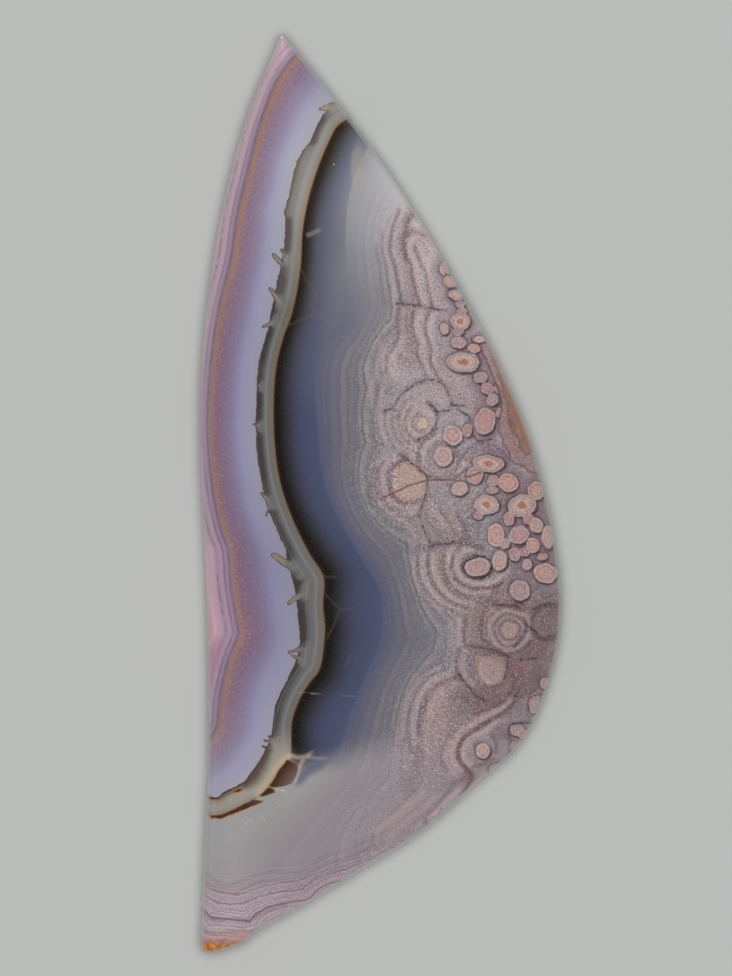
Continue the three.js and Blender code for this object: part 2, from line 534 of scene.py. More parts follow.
BEND_CELLS: tuple[BendCell, ...] = (
    BendCell(
        (
            (-5.1, -14.38), (-4.58, -14.64), (-4.51, -14.9), (-4.65, -15.34), (-4.88, -15.71),
            (-5.36, -15.86), (-5.8, -15.9), (-6.14, -15.86), (-5.91, -15.57), (-5.58, -14.97),
        ),
        ((-6.1, -15.85), (-5.58, -14.97), (-5.1, -14.38)),
        1.0,
    ),
    BendCell(
        ((-6.14, -15.9), (-5.8, -16.01), (-5.77, -16.2), (-6.17, -16.34), (-6.69, -16.42)),
        ((-6.69, -16.42), (-6.14, -15.9)), 1.0,
    ),
    BendCell(
        (
            (-9.36, -17.49), (-8.69, -17.42), (-7.73, -16.97), (-6.99, -16.6), (-6.32, -16.64),
            (-6.62, -16.79), (-7.21, -17.02), (-7.95, -17.33), (-8.69, -17.62), (-9.3, -17.64),
        ),
        ((-9.36, -17.52), (-7.7, -17.15)), 2.4,
    ),
    BendCell(
        ((-8.14, -16.23), (-7.81, -16.01), (-7.43, -15.97), (-7.73, -16.16)),
        ((-8.14, -16.23), (-7.6, -16.05)), 1.0,
    ),
    BendCell(
        (
            (-9.6, -16.3), (-9.29, -16.42), (-8.81, -16.46), (-8.85, -16.56), (-9.29, -16.62),
            (-9.6, -16.5),
        ),
        ((-9.6, -16.45), (-9.1, -16.5)), 1.0,
    ),
)


@dataclass(frozen=True)
class Wash:
    """Soft strokes of one tint, full on their lines and gone at their half width."""

    lines: tuple[Line, ...]
    half_width: float
    tint: Colour
    strength: float


RIVER_WASHES: tuple[Wash, ...] = (
    Wash(
        (
            ((-3.2, 20.45), (-3.5, 19.9), (-3.72, 19.25)),
            ((-5.06, 14.85), (-5.06, 14.0), (-5.16, 13.3)),
            ((-5.32, 12.25), (-5.34, 11.6), (-5.5, 11.1)),
        ),
        0.42, (82, 72, 74), 0.8,
    ),
    Wash(
        (
            ((-5.95, 10.2), (-6.05, 9.7)), ((-6.2, 8.7), (-6.5, 7.4)), ((-6.7, 5.3), (-6.7, 4.2)),
            ((-6.6, 3.0), (-6.4, 1.0)), ((-4.78, -4.4), (-4.5, -5.2)),
            ((-4.35, -6.1), (-4.2, -7.2), (-4.25, -8.1)),
        ),
        0.4, (62, 52, 50), 0.6,
    ),
    Wash(
        (((-6.25, -13.93), (-6.54, -14.75), (-6.99, -15.42), (-7.36, -15.64)),),
        0.62, (86, 68, 64), 0.9,
    ),
    Wash(
        (((-5.06, -14.2), (-5.73, -14.9), (-6.17, -15.64), (-6.69, -16.31)),),
        0.34, (190, 174, 144), 0.6,
    ),
    Wash((((-4.5, -15.55), (-4.1, -15.12), (-3.7, -14.8), (-3.4, -14.65)),), 0.48, (94, 96, 116), 0.85),
    Wash(
        (
            ((-4.99, -14.16), (-4.54, -14.27), (-4.2, -14.25), (-3.95, -14.15)),
            ((-4.2, -14.28), (-4.36, -14.62), (-4.47, -14.9), (-4.6, -15.3), (-4.69, -15.57)),
        ),
        0.2, (188, 168, 156), 0.52,
    ),
    Wash(
        (((-3.95, -14.15), (-3.75, -13.95)), ((-4.0, -14.24), (-3.4, -14.32), (-3.0, -14.3))),
        0.16, (180, 162, 152), 0.32,
    ),
    Wash((((-6.26, -15.98), (-5.81, -15.96), (-5.18, -16.12)),), 0.09, (206, 180, 150), 0.5),
    Wash(
        (
            ((-8.14, -16.36), (-7.43, -16.1)),
            ((-9.21, -17.7), (-8.6, -17.66), (-7.95, -17.4), (-7.2, -17.07), (-6.62, -16.89)),
            ((-9.5, -16.68), (-8.81, -16.72)),
        ),
        0.15, (196, 146, 92), 0.34,
    ),
    # Painted reflection: a pale smudge on the polish at the top of the river
    Wash((((-3.95, 14.1), (-3.4, 14.35)),), 0.22, (178, 170, 162), 0.3),
)
FAINT_VEINS: tuple[Line, ...] = (
    ((-4.53, 12.71), (-4.1, 11.68), (-3.58, 10.99), (-3.67, 9.79), (-5.04, 9.2)),
    ((-3.67, 9.79), (-3.16, 9.62), (-2.3, 8.93)),
    ((-3.14, -5.28), (-2.23, -6.25), (-1.44, -6.13)),
    ((-2.23, -6.25), (-2.91, -7.78)),
    ((-3.31, -4.32), (-2.92, -4.49), (-2.4, -4.45)),
    ((-1.61, -8.69), (-2.01, -9.37)),
)
PALE_HAIRS: tuple[Line, ...] = (
    ((-9.27, -9.76), (-6.77, -10.56)), ((-3.82, -10.84), (0.15, -11.01)), ((-4.6, -10.75), (-3.0, -10.7)),
)
# Painted glints: tiny white spots and short streaks where pits, crystals and the polish catch the light
PAINTED_GLINTS: tuple[Line, ...] = (
    ((-2.59, 17.98), (-2.57, 17.94)), ((-0.55, 19.0), (-0.53, 18.97)), ((5.4, -12.58), (5.42, -12.57)),
    ((1.16, -14.8), (1.4, -14.72)), ((4.45, -12.6), (4.47, -12.59)), ((-5.4, -16.05), (-5.1, -16.15)),
    ((-6.52, -17.48), (-6.48, -17.52)),
    ((-6.37, -17.69), (-6.35, -17.71)),
    ((-7.12, -17.69), (-7.08, -17.71)),
    ((-7.37, -17.9), (-7.35, -17.91)), ((-6.81, -17.9), (-6.79, -17.9)),
    ((-5.82, -17.18), (-5.78, -17.22)),
    ((-5.66, -16.69), (-5.64, -16.72)),
    ((-8.21, -16.6), (-8.19, -16.6)), ((-8.41, -19.3), (-8.38, -19.31)),
    ((-3.41, -17.2), (-3.39, -17.21)), ((-7.81, -20.5), (-7.79, -20.5)), ((-9.58, -24.97), (-9.5, -25.0)),
    ((-9.29, -25.05), (-9.25, -25.03)),
    ((-9.1, -24.91), (-9.08, -24.9)),
    ((-7.48, -24.56), (-7.46, -24.55)),
    ((-5.38, -23.36), (-5.36, -23.35)),
)
CRUST_EDGE: Line = (
    (5.65, 8.6), (5.95, 7.6), (6.3, 6.7), (6.56, 5.9), (6.62, 5.5), (6.78, 5.13), (6.92, 4.28),
    (6.95, 3.85), (7.13, 3.42), (7.49, 3.03), (7.52, 2.5), (7.92, 2.14), (8.3, 2.3), (8.9, 2.0),
)
HUSK_EDGE: Line = (
    (5.4, 8.0), (5.75, 7.2), (6.1, 6.4), (6.5, 5.4), (6.56, 4.92), (6.49, 4.42), (6.35, 3.92),
    (6.39, 3.5), (6.56, 3.14), (6.64, 2.71), (6.92, 2.43), (6.99, 2.0), (7.35, 1.64), (7.85, 1.5),
    (8.13, 1.22), (8.6, 1.12), (9.2, 0.8),
)


@dataclass(frozen=True)
class Lobe:
    """A rounded growth: a stroke with a radius, round which the bands run."""

    start: Point
    end: Point
    radius: float


LOBES: tuple[Lobe, ...] = (
    Lobe((2.1, 13.55), (2.9, 10.3), 0.78),
    Lobe((3.4, 9.6), (3.6, 7.2), 1.45),
    Lobe((1.3, 7.45), (1.3, 7.2), 0.85),
    Lobe((2.21, 3.94), (2.21, 3.94), 1.75),
    Lobe((3.23, 5.26), (3.23, 5.26), 0.5),
    Lobe((4.47, 5.5), (4.47, 5.5), 0.8),
    Lobe((3.4, 2.09), (3.4, 2.09), 1.5),
    Lobe((1.63, 0.64), (1.63, 0.64), 1.75),
    Lobe((3.5, -0.2), (4.7, -1.9), 1.2),
    Lobe((5.22, -3.86), (5.22, -3.86), 2.45),
    Lobe((6.93, -7.36), (6.93, -7.36), 2.1),
    Lobe((9.14, -6.96), (9.14, -6.96), 0.9),
    Lobe((8.1, -8.0), (8.1, -8.0), 0.5),
    Lobe((6.02, -9.33), (6.02, -9.33), 1.6),
    Lobe((4.1, -11.7), (3.9, -14.3), 1.7),
    Lobe((5.52, -13.92), (5.52, -13.92), 0.95),
    Lobe((3.6, -15.6), (0.4, -18.6), 0.55),
    Lobe((8.5, -9.9), (8.0, -11.8), 0.5),
    Lobe((5.6, 5.6), (6.3, 1.4), 1.1),
    Lobe((6.3, 1.4), (7.6, -3.4), 1.1),
    Lobe((4.9, 8.4), (3.9, 11.6), 0.5),
)


@dataclass(frozen=True)
class Lamella:
    """One thin growth line, and how strongly it shows from 0 to 1."""

    points: Line
    strength: float


ARC_STEPS = 33
ARC_SWAY = 0.035
ARC_RIPPLE = 0.02


def arc(centre: Point, width: float, height: float, start: float = 0.0, end: float = 360.0) -> Line:
    """Points along part of a slightly uneven ellipse.

    Args:
        centre: its middle.
        width: half its width.
        height: half its height.
        start: the first point's angle in degrees.
        end: the last point's angle.

    Returns:
        The points in order.
    """
    points = []
    for angle in np.radians(np.linspace(start, end, ARC_STEPS)):
        uneven = 1 + ARC_SWAY * math.sin(3 * angle + centre[0])
        uneven += ARC_RIPPLE * math.sin(5 * angle + centre[1])
        across, up = width * uneven * math.cos(angle), height * uneven * math.sin(angle)
        points.append((centre[0] + across, centre[1] + up))
    return tuple(points)


DISC_WITH_CRYSTALS: Point = (2.19, 3.92)
CRACKED_DISC: Point = (1.51, 0.72)
SPECKLED_DISC: Point = (6.97, -7.35)
PITTED_DISC: Point = (9.1, -7.0)
GREENISH_DISC: Point = (6.02, -9.5)
PLAIN_DISC: Point = (3.36, 2.07)
BROWN_BANDS: tuple[Lamella, ...] = (
    Lamella(
        ((1.75, 15.5), (1.41, 14.95), (1.25, 14.28), (1.11, 13.66), (1.16, 13.21), (1.42, 12.7)),
        0.9,
    ),
    Lamella(((1.42, 12.7), (1.5, 12.0), (1.62, 11.3), (1.8, 10.6)), 0.6),
    Lamella(((1.4, 10.1), (1.3, 9.4), (1.35, 8.8), (1.5, 8.3)), 0.5),
    Lamella(arc(CRACKED_DISC, 1.2, 1.3, 100, 270), 0.8),
    Lamella(arc((5.23, -3.93), 1.75, 1.5, 120, 300), 0.6),
    Lamella(arc(SPECKLED_DISC, 1.6, 1.55, 120, 260), 0.6),
    Lamella(
        (
            (7.5, -9.6), (7.45, -10.3), (7.25, -10.9), (6.95, -11.35), (6.5, -11.8), (5.95, -12.12),
            (5.3, -12.45), (4.7, -12.85), (4.25, -13.3), (4.08, -13.9), (4.15, -14.5), (4.55, -15.0),
            (4.85, -15.5),
        ),
        1.0,
    ),
    Lamella(((3.7, -2.1), (3.3, -2.4), (2.8, -2.6)), 0.5),
    Lamella(((2.0, -13.0), (2.05, -14.0), (1.9, -15.0), (1.4, -16.0)), 0.5),
)
DARK_LAMELLAE: tuple[Lamella, ...] = (
    Lamella(arc(DISC_WITH_CRYSTALS, 0.95, 0.95, 120, 300), 0.8),
    Lamella(arc(DISC_WITH_CRYSTALS, 0.52, 0.5, 100, 290), 0.6),
    Lamella(arc(CRACKED_DISC, 1.08, 1.2, 100, 300), 0.8),
    Lamella(arc(CRACKED_DISC, 1.72, 1.6, 140, 260), 0.7),
    Lamella(arc(SPECKLED_DISC, 0.56, 0.55), 0.9),
    Lamella(arc(SPECKLED_DISC, 0.86, 0.86), 1.0),
    Lamella(arc(SPECKLED_DISC, 1.3, 1.28, 60, 330), 0.9),
    Lamella(arc(PITTED_DISC, 0.92, 0.95, 60, 330), 0.9),
    Lamella(arc(GREENISH_DISC, 0.84, 0.9, 60, 300), 0.6),
    Lamella(arc(PLAIN_DISC, 1.42, 1.25, 110, 330), 0.9),
    Lamella(arc(PLAIN_DISC, 0.85, 0.85, 0, 360), 0.6),
    Lamella(((4.3, 1.95), (4.85, 2.55), (5.6, 2.78), (6.4, 2.5), (6.9, 1.95)), 0.8),
    Lamella(((4.6, 1.9), (5.1, 2.3), (5.7, 2.45), (6.3, 2.25), (6.75, 1.75)), 0.6),
    Lamella(((2.95, -0.7), (3.32, -1.0), (3.59, -1.41), (3.87, -1.82), (4.0, -2.23)), 0.8),
    Lamella(((3.3, -0.9), (3.66, -1.48), (3.93, -1.89), (4.14, -2.23), (4.41, -2.5)), 0.7),
    Lamella(((-9.74, -22.7), (-9.41, -23.02), (-9.03, -23.19), (-8.2, -23.17), (-7.2, -23.25)), 0.9),
    Lamella(((-7.01, -23.05), (-6.62, -22.84), (-6.24, -22.65), (-5.79, -22.49), (-5.2, -22.35)), 0.9),
    Lamella(((-9.58, -23.74), (-9.03, -23.9), (-8.4, -23.77), (-7.5, -23.8), (-6.7, -23.87)), 0.9),
    Lamella(((-9.72, -24.13), (-9.03, -24.27), (-8.47, -24.2)), 0.7),
    Lamella(
        (
            (-9.73, -20.53), (-9.07, -20.98), (-8.32, -21.27), (-7.21, -20.83), (-6.03, -20.53),
            (-4.39, -20.53), (-3.8, -20.09), (-2.76, -19.57), (-1.7, -19.3), (-0.5, -18.6),
        ),
        0.28,
    ),
    Lamella(
        (
            (-9.73, -21.05), (-9.07, -21.42), (-8.32, -21.65), (-7.81, -21.65), (-6.84, -21.13),
            (-5.73, -20.98), (-4.39, -20.9), (-3.73, -20.46), (-2.76, -20.01), (-1.7, -19.75),
            (-0.5, -19.1),
        ),
        0.36,
    ),
    Lamella(
        ((-5.2, -21.5), (-4.02, -21.27), (-3.5, -20.83), (-2.76, -20.46), (-1.7, -20.2), (-0.7, -19.7)),
        0.4,
    ),
    Lamella(((-4.2, -21.65), (-3.5, -21.2), (-2.76, -20.83), (-1.7, -20.5)), 0.35),
    Lamella(
        ((-0.28, 13.5), (-0.25, 13.0), (-0.1, 12.5), (-0.02, 11.8), (0.05, 11.0), (0.15, 10.4)),
        0.35,
    ),
    Lamella(
        ((0.02, 14.3), (0.05, 13.3), (0.2, 12.7), (0.3, 12.2), (0.42, 11.5), (0.47, 10.8), (0.45, 10.2)),
        0.45,
    ),
    Lamella(
        (
            (0.98, 15.5), (0.72, 14.8), (0.55, 14.2), (0.45, 13.4), (0.55, 12.9), (0.72, 12.5),
            (0.82, 12.0), (0.92, 11.4), (1.0, 10.9), (1.1, 10.4),
        ),
        0.8,
    ),
    Lamella(
        ((1.7, 15.2), (1.45, 14.9), (1.35, 14.4), (1.25, 13.9), (1.27, 13.3), (1.38, 12.9), (1.55, 12.6)),
        0.9,
    ),
    Lamella(((1.6, 12.45), (1.65, 12.0), (1.75, 11.6), (1.85, 11.2), (1.98, 10.7), (2.1, 10.3)), 0.9),
    Lamella(((1.42, 14.05), (1.6, 14.3), (1.85, 14.36), (2.1, 14.25), (2.38, 14.1)), 0.8),
    Lamella(
        ((1.8, 13.5), (1.95, 13.1), (2.1, 12.7), (2.3, 12.3), (2.45, 11.8), (2.55, 11.2), (2.8, 10.2)),
        0.8,
    ),
    Lamella(((0.97, 10.1), (0.85, 9.4), (0.92, 8.7), (0.75, 8.2), (0.45, 7.7)), 0.8),
    Lamella(
        ((1.78, 9.95), (1.65, 9.3), (1.75, 8.7), (1.98, 8.2), (1.95, 7.6), (2.2, 7.0), (2.45, 6.45)),
        0.8,
    ),
    Lamella(
        ((2.6, 9.85), (2.37, 9.2), (2.45, 8.6), (2.7, 8.0), (2.65, 7.4), (2.8, 6.9), (3.3, 6.15)),
        0.8,
    ),
    Lamella(((0.35, 8.2), (0.3, 7.5), (0.3, 6.9), (0.1, 6.3), (-0.25, 5.6), (-0.3, 4.9)), 0.4),
    Lamella(((2.55, 4.98), (2.85, 4.7), (3.05, 4.35)), 1.0),
    Lamella(((3.0, 3.6), (2.6, 3.2), (2.1, 2.98), (1.8, 2.85)), 0.9),
    Lamella(((1.35, 5.15), (1.0, 4.5), (0.95, 3.8), (1.15, 3.15), (1.6, 2.78)), 0.7),
    Lamella(((0.75, 4.6), (0.58, 3.9), (0.75, 3.2), (1.1, 2.75)), 0.6),
    Lamella(((0.2, 4.6), (0.15, 3.9), (0.35, 3.2), (0.75, 2.5)), 0.4),
    Lamella(
        (
            (2.05, 2.55), (2.08, 2.0), (2.3, 1.5), (2.8, 1.06), (3.4, 0.96), (3.9, 1.2), (4.15, 1.7),
            (4.1, 2.3),
        ),
        0.9,
    ),
    Lamella(((0.55, 1.7), (0.36, 1.1), (0.36, 0.5), (0.6, 0.0), (0.95, -0.4)), 0.7),
    Lamella(
        ((-0.3, 1.5), (-0.4, 0.8), (-0.25, 0.1), (0.15, -0.5), (0.7, -0.95), (1.4, -1.2), (1.95, -1.15)),
        0.6,
    ),
    Lamella(
        ((-0.7, 0.6), (-0.5, -0.2), (0.05, -0.85), (0.6, -1.25), (1.15, -1.6), (1.6, -2.2), (2.2, -2.9)),
        0.5,
    ),
    Lamella(((-0.9, -0.2), (-0.4, -0.8), (0.2, -1.3), (0.75, -1.8), (1.2, -2.4), (1.6, -3.1)), 0.3),
    Lamella(((4.1, -1.0), (4.4, -1.5), (4.7, -2.2), (4.9, -2.8)), 0.7),
    Lamella(((2.35, -0.9), (2.6, -1.5), (3.0, -2.0), (3.4, -2.55)), 0.4),
    Lamella(((2.6, -2.9), (3.1, -2.7), (3.6, -2.65), (4.1, -2.52), (4.9, -2.75), (5.5, -2.9)), 0.9),
    Lamella(
        ((3.9, -3.4), (3.82, -4.1), (4.1, -4.65), (4.7, -5.0), (5.3, -5.1), (6.0, -5.02), (6.6, -4.8)),
        0.9,
    ),
    Lamella(((3.4, -3.3), (3.42, -4.1), (3.72, -4.8), (4.2, -5.3), (4.8, -5.52), (5.5, -5.5)), 0.7),
    Lamella(
        (
            (2.55, -3.1), (2.53, -3.8), (2.7, -4.5), (3.05, -5.15), (3.5, -5.65), (4.1, -5.97),
            (4.7, -6.08),
        ),
        0.9,
    ),
    Lamella(((2.05, -3.1), (1.95, -4.0), (2.1, -4.7), (2.5, -5.35), (3.1, -5.92), (3.8, -6.3)), 0.6),
    Lamella(((1.65, -3.3), (1.6, -4.0), (1.75, -4.8), (2.2, -5.55), (2.8, -6.15)), 0.35),
    Lamella(((6.0, -6.0), (6.6, -5.98), (7.1, -6.06), (7.6, -5.95)), 0.9),
    Lamella(((5.5, -6.9), (5.48, -7.4), (5.65, -7.9), (6.0, -8.2), (6.5, -8.45)), 0.8),
    Lamella(((6.05, -7.0), (6.1, -7.6), (6.45, -8.05), (7.0, -8.3)), 0.6),
    Lamella(((4.5, -6.8), (4.42, -7.5), (4.5, -8.1)), 0.6),
    Lamella(((4.25, -8.4), (4.05, -8.9), (4.1, -9.6), (4.4, -10.1)), 0.6),
    Lamella(
        (
            (4.1, -9.9), (3.5, -10.05), (3.0, -10.4), (2.6, -10.9), (2.3, -11.5), (2.05, -12.2),
            (2.0, -13.0),
        ),
        0.6,
    ),
    Lamella(
        (
            (3.5, -9.5), (2.6, -9.9), (2.05, -10.5), (1.7, -11.2), (1.5, -12.0), (1.45, -13.0),
            (1.65, -14.0),
        ),
        0.5,
    ),
    Lamella(((2.9, -9.2), (2.0, -9.8), (1.4, -10.7), (1.1, -11.6), (1.0, -12.6)), 0.25),
    Lamella(((5.1, -11.9), (5.7, -11.68), (6.3, -11.45), (6.8, -11.15), (7.0, -10.7)), 0.7),
    Lamella(
        (
            (7.45, -10.7), (7.2, -11.25), (6.9, -11.6), (6.4, -12.0), (5.9, -12.3), (5.3, -12.68),
            (4.8, -13.0), (4.4, -13.4), (4.2, -14.0), (4.3, -14.5), (4.7, -14.95), (4.93, -15.4),
            (4.7, -15.9), (4.4, -16.35),
        ),
        1.0,
    ),
    Lamella(((3.75, -13.1), (3.35, -13.7), (3.3, -14.4), (3.6, -15.0)), 0.5),
    Lamella(((6.05, -13.15), (6.27, -13.6), (6.2, -14.0)), 0.7),
    Lamella(((5.0, -14.82), (5.5, -14.7), (6.1, -14.4)), 0.8),
    Lamella(((3.8, -15.75), (4.4, -15.55)), 0.6),
    Lamella(((4.0, -15.7), (3.5, -16.3), (3.1, -16.9), (2.6, -17.4)), 0.4),
    Lamella(((7.9, -12.4), (7.4, -12.5), (7.0, -12.8), (7.0, -13.3), (7.3, -13.55)), 0.8),
    Lamella(((8.1, -10.9), (8.0, -11.5), (8.0, -12.1), (8.2, -12.5)), 0.6),
    Lamella(((6.9, -14.4), (7.05, -13.9), (7.3, -13.5)), 0.7),
    Lamella(((5.9, -15.2), (6.1, -14.75), (6.6, -14.55)), 0.7),
    Lamella(((6.9, -9.2), (7.1, -9.8), (7.2, -10.4), (7.0, -10.9)), 0.5),
)
PALE_LAMELLAE: tuple[Lamella, ...] = (
    Lamella(arc(DISC_WITH_CRYSTALS, 0.71, 0.71), 0.9),
    Lamella(arc(DISC_WITH_CRYSTALS, 1.17, 1.17, 130, 310), 0.9),
    Lamella(arc(CRACKED_DISC, 1.4, 1.42, 120, 290), 0.8),
    Lamella(arc(SPECKLED_DISC, 0.7, 0.7), 1.0),
    Lamella(arc(SPECKLED_DISC, 1.05, 1.05, 20, 360), 0.9),
    Lamella(arc(PLAIN_DISC, 1.15, 1.08, 100, 340), 0.9),
    Lamella(
        ((0.2, 15.3), (-0.0, 14.2), (0.1, 13.5), (0.3, 12.9), (0.5, 12.2), (0.65, 11.2), (0.7, 10.4)),
        0.4,
    ),
    Lamella(
        ((1.25, 15.6), (0.95, 14.9), (0.78, 14.2), (0.75, 13.5), (0.9, 12.9), (1.05, 12.2), (1.2, 11.2)),
        0.7,
    ),
    Lamella(
        (
            (2.0, 14.2), (1.72, 14.0), (1.53, 13.6), (1.52, 13.2), (1.68, 12.7), (1.88, 12.3),
            (1.95, 11.8), (2.1, 11.2), (2.25, 10.7), (2.35, 10.3),
        ),
        1.0,
    ),
    Lamella(((2.05, 13.3), (2.3, 12.8), (2.52, 12.2), (2.67, 11.5), (2.77, 10.9), (2.92, 10.4)), 0.8),
    Lamella(((1.2, 10.1), (1.07, 9.4), (1.17, 8.7), (1.1, 8.2)), 0.7),
    Lamella(
        ((2.3, 10.0), (2.05, 9.6), (2.0, 9.0), (2.18, 8.4), (2.22, 7.5), (2.4, 6.9), (2.62, 6.5)),
        0.9,
    ),
    Lamella(
        ((2.9, 9.9), (2.65, 9.3), (2.62, 8.8), (2.8, 8.2), (2.87, 7.3), (3.02, 6.9), (3.4, 6.25)),
        0.9,
    ),
    Lamella(((0.75, 7.9), (0.62, 7.3), (0.62, 6.8), (0.8, 6.3)), 0.7),
    Lamella(((0.1, 8.0), (-0.1, 7.2), (-0.42, 6.2), (-0.55, 5.5), (-0.5, 4.9)), 0.5),
    Lamella(((0.1, 6.3), (0.05, 5.5), (-0.02, 4.6), (0.0, 3.8), (0.25, 3.0)), 0.7),
    Lamella(((1.7, 4.78), (1.42, 4.3), (1.4, 3.8), (1.6, 3.3), (1.95, 3.05)), 0.8),
    Lamella(((1.35, 4.95), (1.12, 4.4), (1.1, 3.8), (1.3, 3.2), (1.65, 2.9)), 0.7),
    Lamella(((1.7, 2.6), (1.65, 2.2), (1.9, 1.75), (2.1, 1.5)), 0.6),
    Lamella(
        ((2.3, 2.4), (2.3, 1.9), (2.55, 1.5), (3.0, 1.22), (3.5, 1.15), (3.85, 1.4), (4.0, 1.9)),
        0.9,
    ),
    Lamella(((0.75, 1.25), (0.66, 0.85), (0.75, 0.35), (1.1, -0.1)), 0.7),
    Lamella(((0.2, 1.9), (0.02, 1.2), (0.08, 0.4), (0.5, -0.35), (1.2, -0.85), (1.8, -0.95)), 0.7),
    Lamella(((-0.05, -0.45), (0.45, -1.0), (1.0, -1.4), (1.5, -1.9), (1.95, -2.6)), 0.6),
    Lamella(((2.0, -1.3), (2.2, -1.9), (2.5, -2.4)), 0.5),
    Lamella(((2.8, -0.55), (3.1, -1.1), (3.4, -1.6)), 0.6),
    Lamella(((3.6, -1.5), (3.9, -2.0), (4.2, -2.4)), 0.6),
    Lamella(
        (
            (4.9, -2.98), (4.45, -3.1), (4.12, -3.45), (4.05, -3.9), (4.2, -4.3), (4.6, -4.68),
            (5.1, -4.88), (5.7, -4.85), (6.3, -4.6), (6.85, -4.2),
        ),
        1.0,
    ),
    Lamella(
        (
            (3.85, -2.95), (3.64, -3.4), (3.65, -4.1), (3.95, -4.8), (4.5, -5.22), (5.1, -5.4),
            (5.7, -5.28),
        ),
        1.0,
    ),
    Lamella(((2.75, -3.3), (2.8, -4.1), (3.15, -4.9), (3.7, -5.5), (4.3, -5.82), (4.9, -5.95)), 0.9),
    Lamella(((2.25, -3.2), (2.2, -4.0), (2.4, -4.8), (2.9, -5.45), (3.5, -5.93), (4.2, -6.22)), 0.8),
    Lamella(((1.8, -3.4), (1.8, -4.2), (2.1, -5.0), (2.6, -5.7), (3.2, -6.22)), 0.6),
    Lamella(((6.35, -7.6), (6.32, -7.0), (6.7, -6.6), (7.2, -6.55), (7.7, -6.9)), 0.8),
    Lamella(((6.32, -7.3), (6.42, -7.8), (6.8, -8.12), (7.25, -8.1)), 0.9),
    Lamella(
        ((6.5, -5.98), (6.1, -6.3), (5.78, -6.8), (5.7, -7.5), (6.0, -8.0), (6.6, -8.35), (7.2, -8.42)),
        0.9,
    ),
    Lamella(((4.22, -6.9), (4.15, -7.5), (4.2, -8.1)), 0.6),
    Lamella(((3.78, -6.9), (3.72, -7.6), (3.78, -8.3)), 0.4),
    Lamella(((4.55, -8.5), (4.42, -9.1), (4.5, -9.8), (4.9, -10.3)), 0.6),
    Lamella(((5.35, -8.9), (5.25, -9.4), (5.4, -9.9), (5.8, -10.2)), 0.7),
    Lamella(
        (
            (3.8, -9.75), (3.0, -9.95), (2.4, -10.45), (2.02, -11.0), (1.8, -11.7), (1.72, -12.5),
            (1.8, -13.4),
        ),
        0.7,
    ),
    Lamella(((3.0, -9.45), (2.15, -10.05), (1.55, -10.9), (1.27, -11.9), (1.2, -13.0)), 0.5),
    Lamella(((4.0, -10.3), (3.2, -10.8), (2.75, -11.5), (2.5, -12.3), (2.35, -13.2), (2.5, -14.2)), 0.5),
    Lamella(
        (
            (7.0, -11.2), (6.6, -11.6), (6.0, -11.9), (5.4, -12.2), (4.8, -12.58), (4.3, -12.95),
            (4.0, -13.4), (3.85, -14.0), (3.92, -14.5), (4.3, -15.0),
        ),
        1.0,
    ),
    Lamella(
        (
            (6.3, -12.3), (5.6, -12.9), (5.0, -13.1), (4.6, -13.5), (4.45, -14.0), (4.6, -14.5),
            (4.9, -14.8),
        ),
        0.9,
    ),
    Lamella(((3.65, -13.3), (3.52, -14.0), (3.62, -14.7), (4.0, -15.15)), 0.6),
    Lamella(((4.25, -16.1), (3.7, -16.6), (3.3, -17.0), (2.9, -17.35)), 0.9),
    Lamella(((5.6, -15.3), (5.1, -15.8), (4.7, -16.3)), 0.8),
    Lamella(((5.95, -15.1), (6.3, -14.9), (6.7, -14.7)), 0.8),
    Lamella(((2.3, -16.2), (1.4, -17.0), (0.5, -17.7), (-0.3, -18.3)), 0.5),
    Lamella(((3.0, -16.4), (2.1, -17.2), (1.2, -17.9), (0.4, -18.6)), 0.5),
)
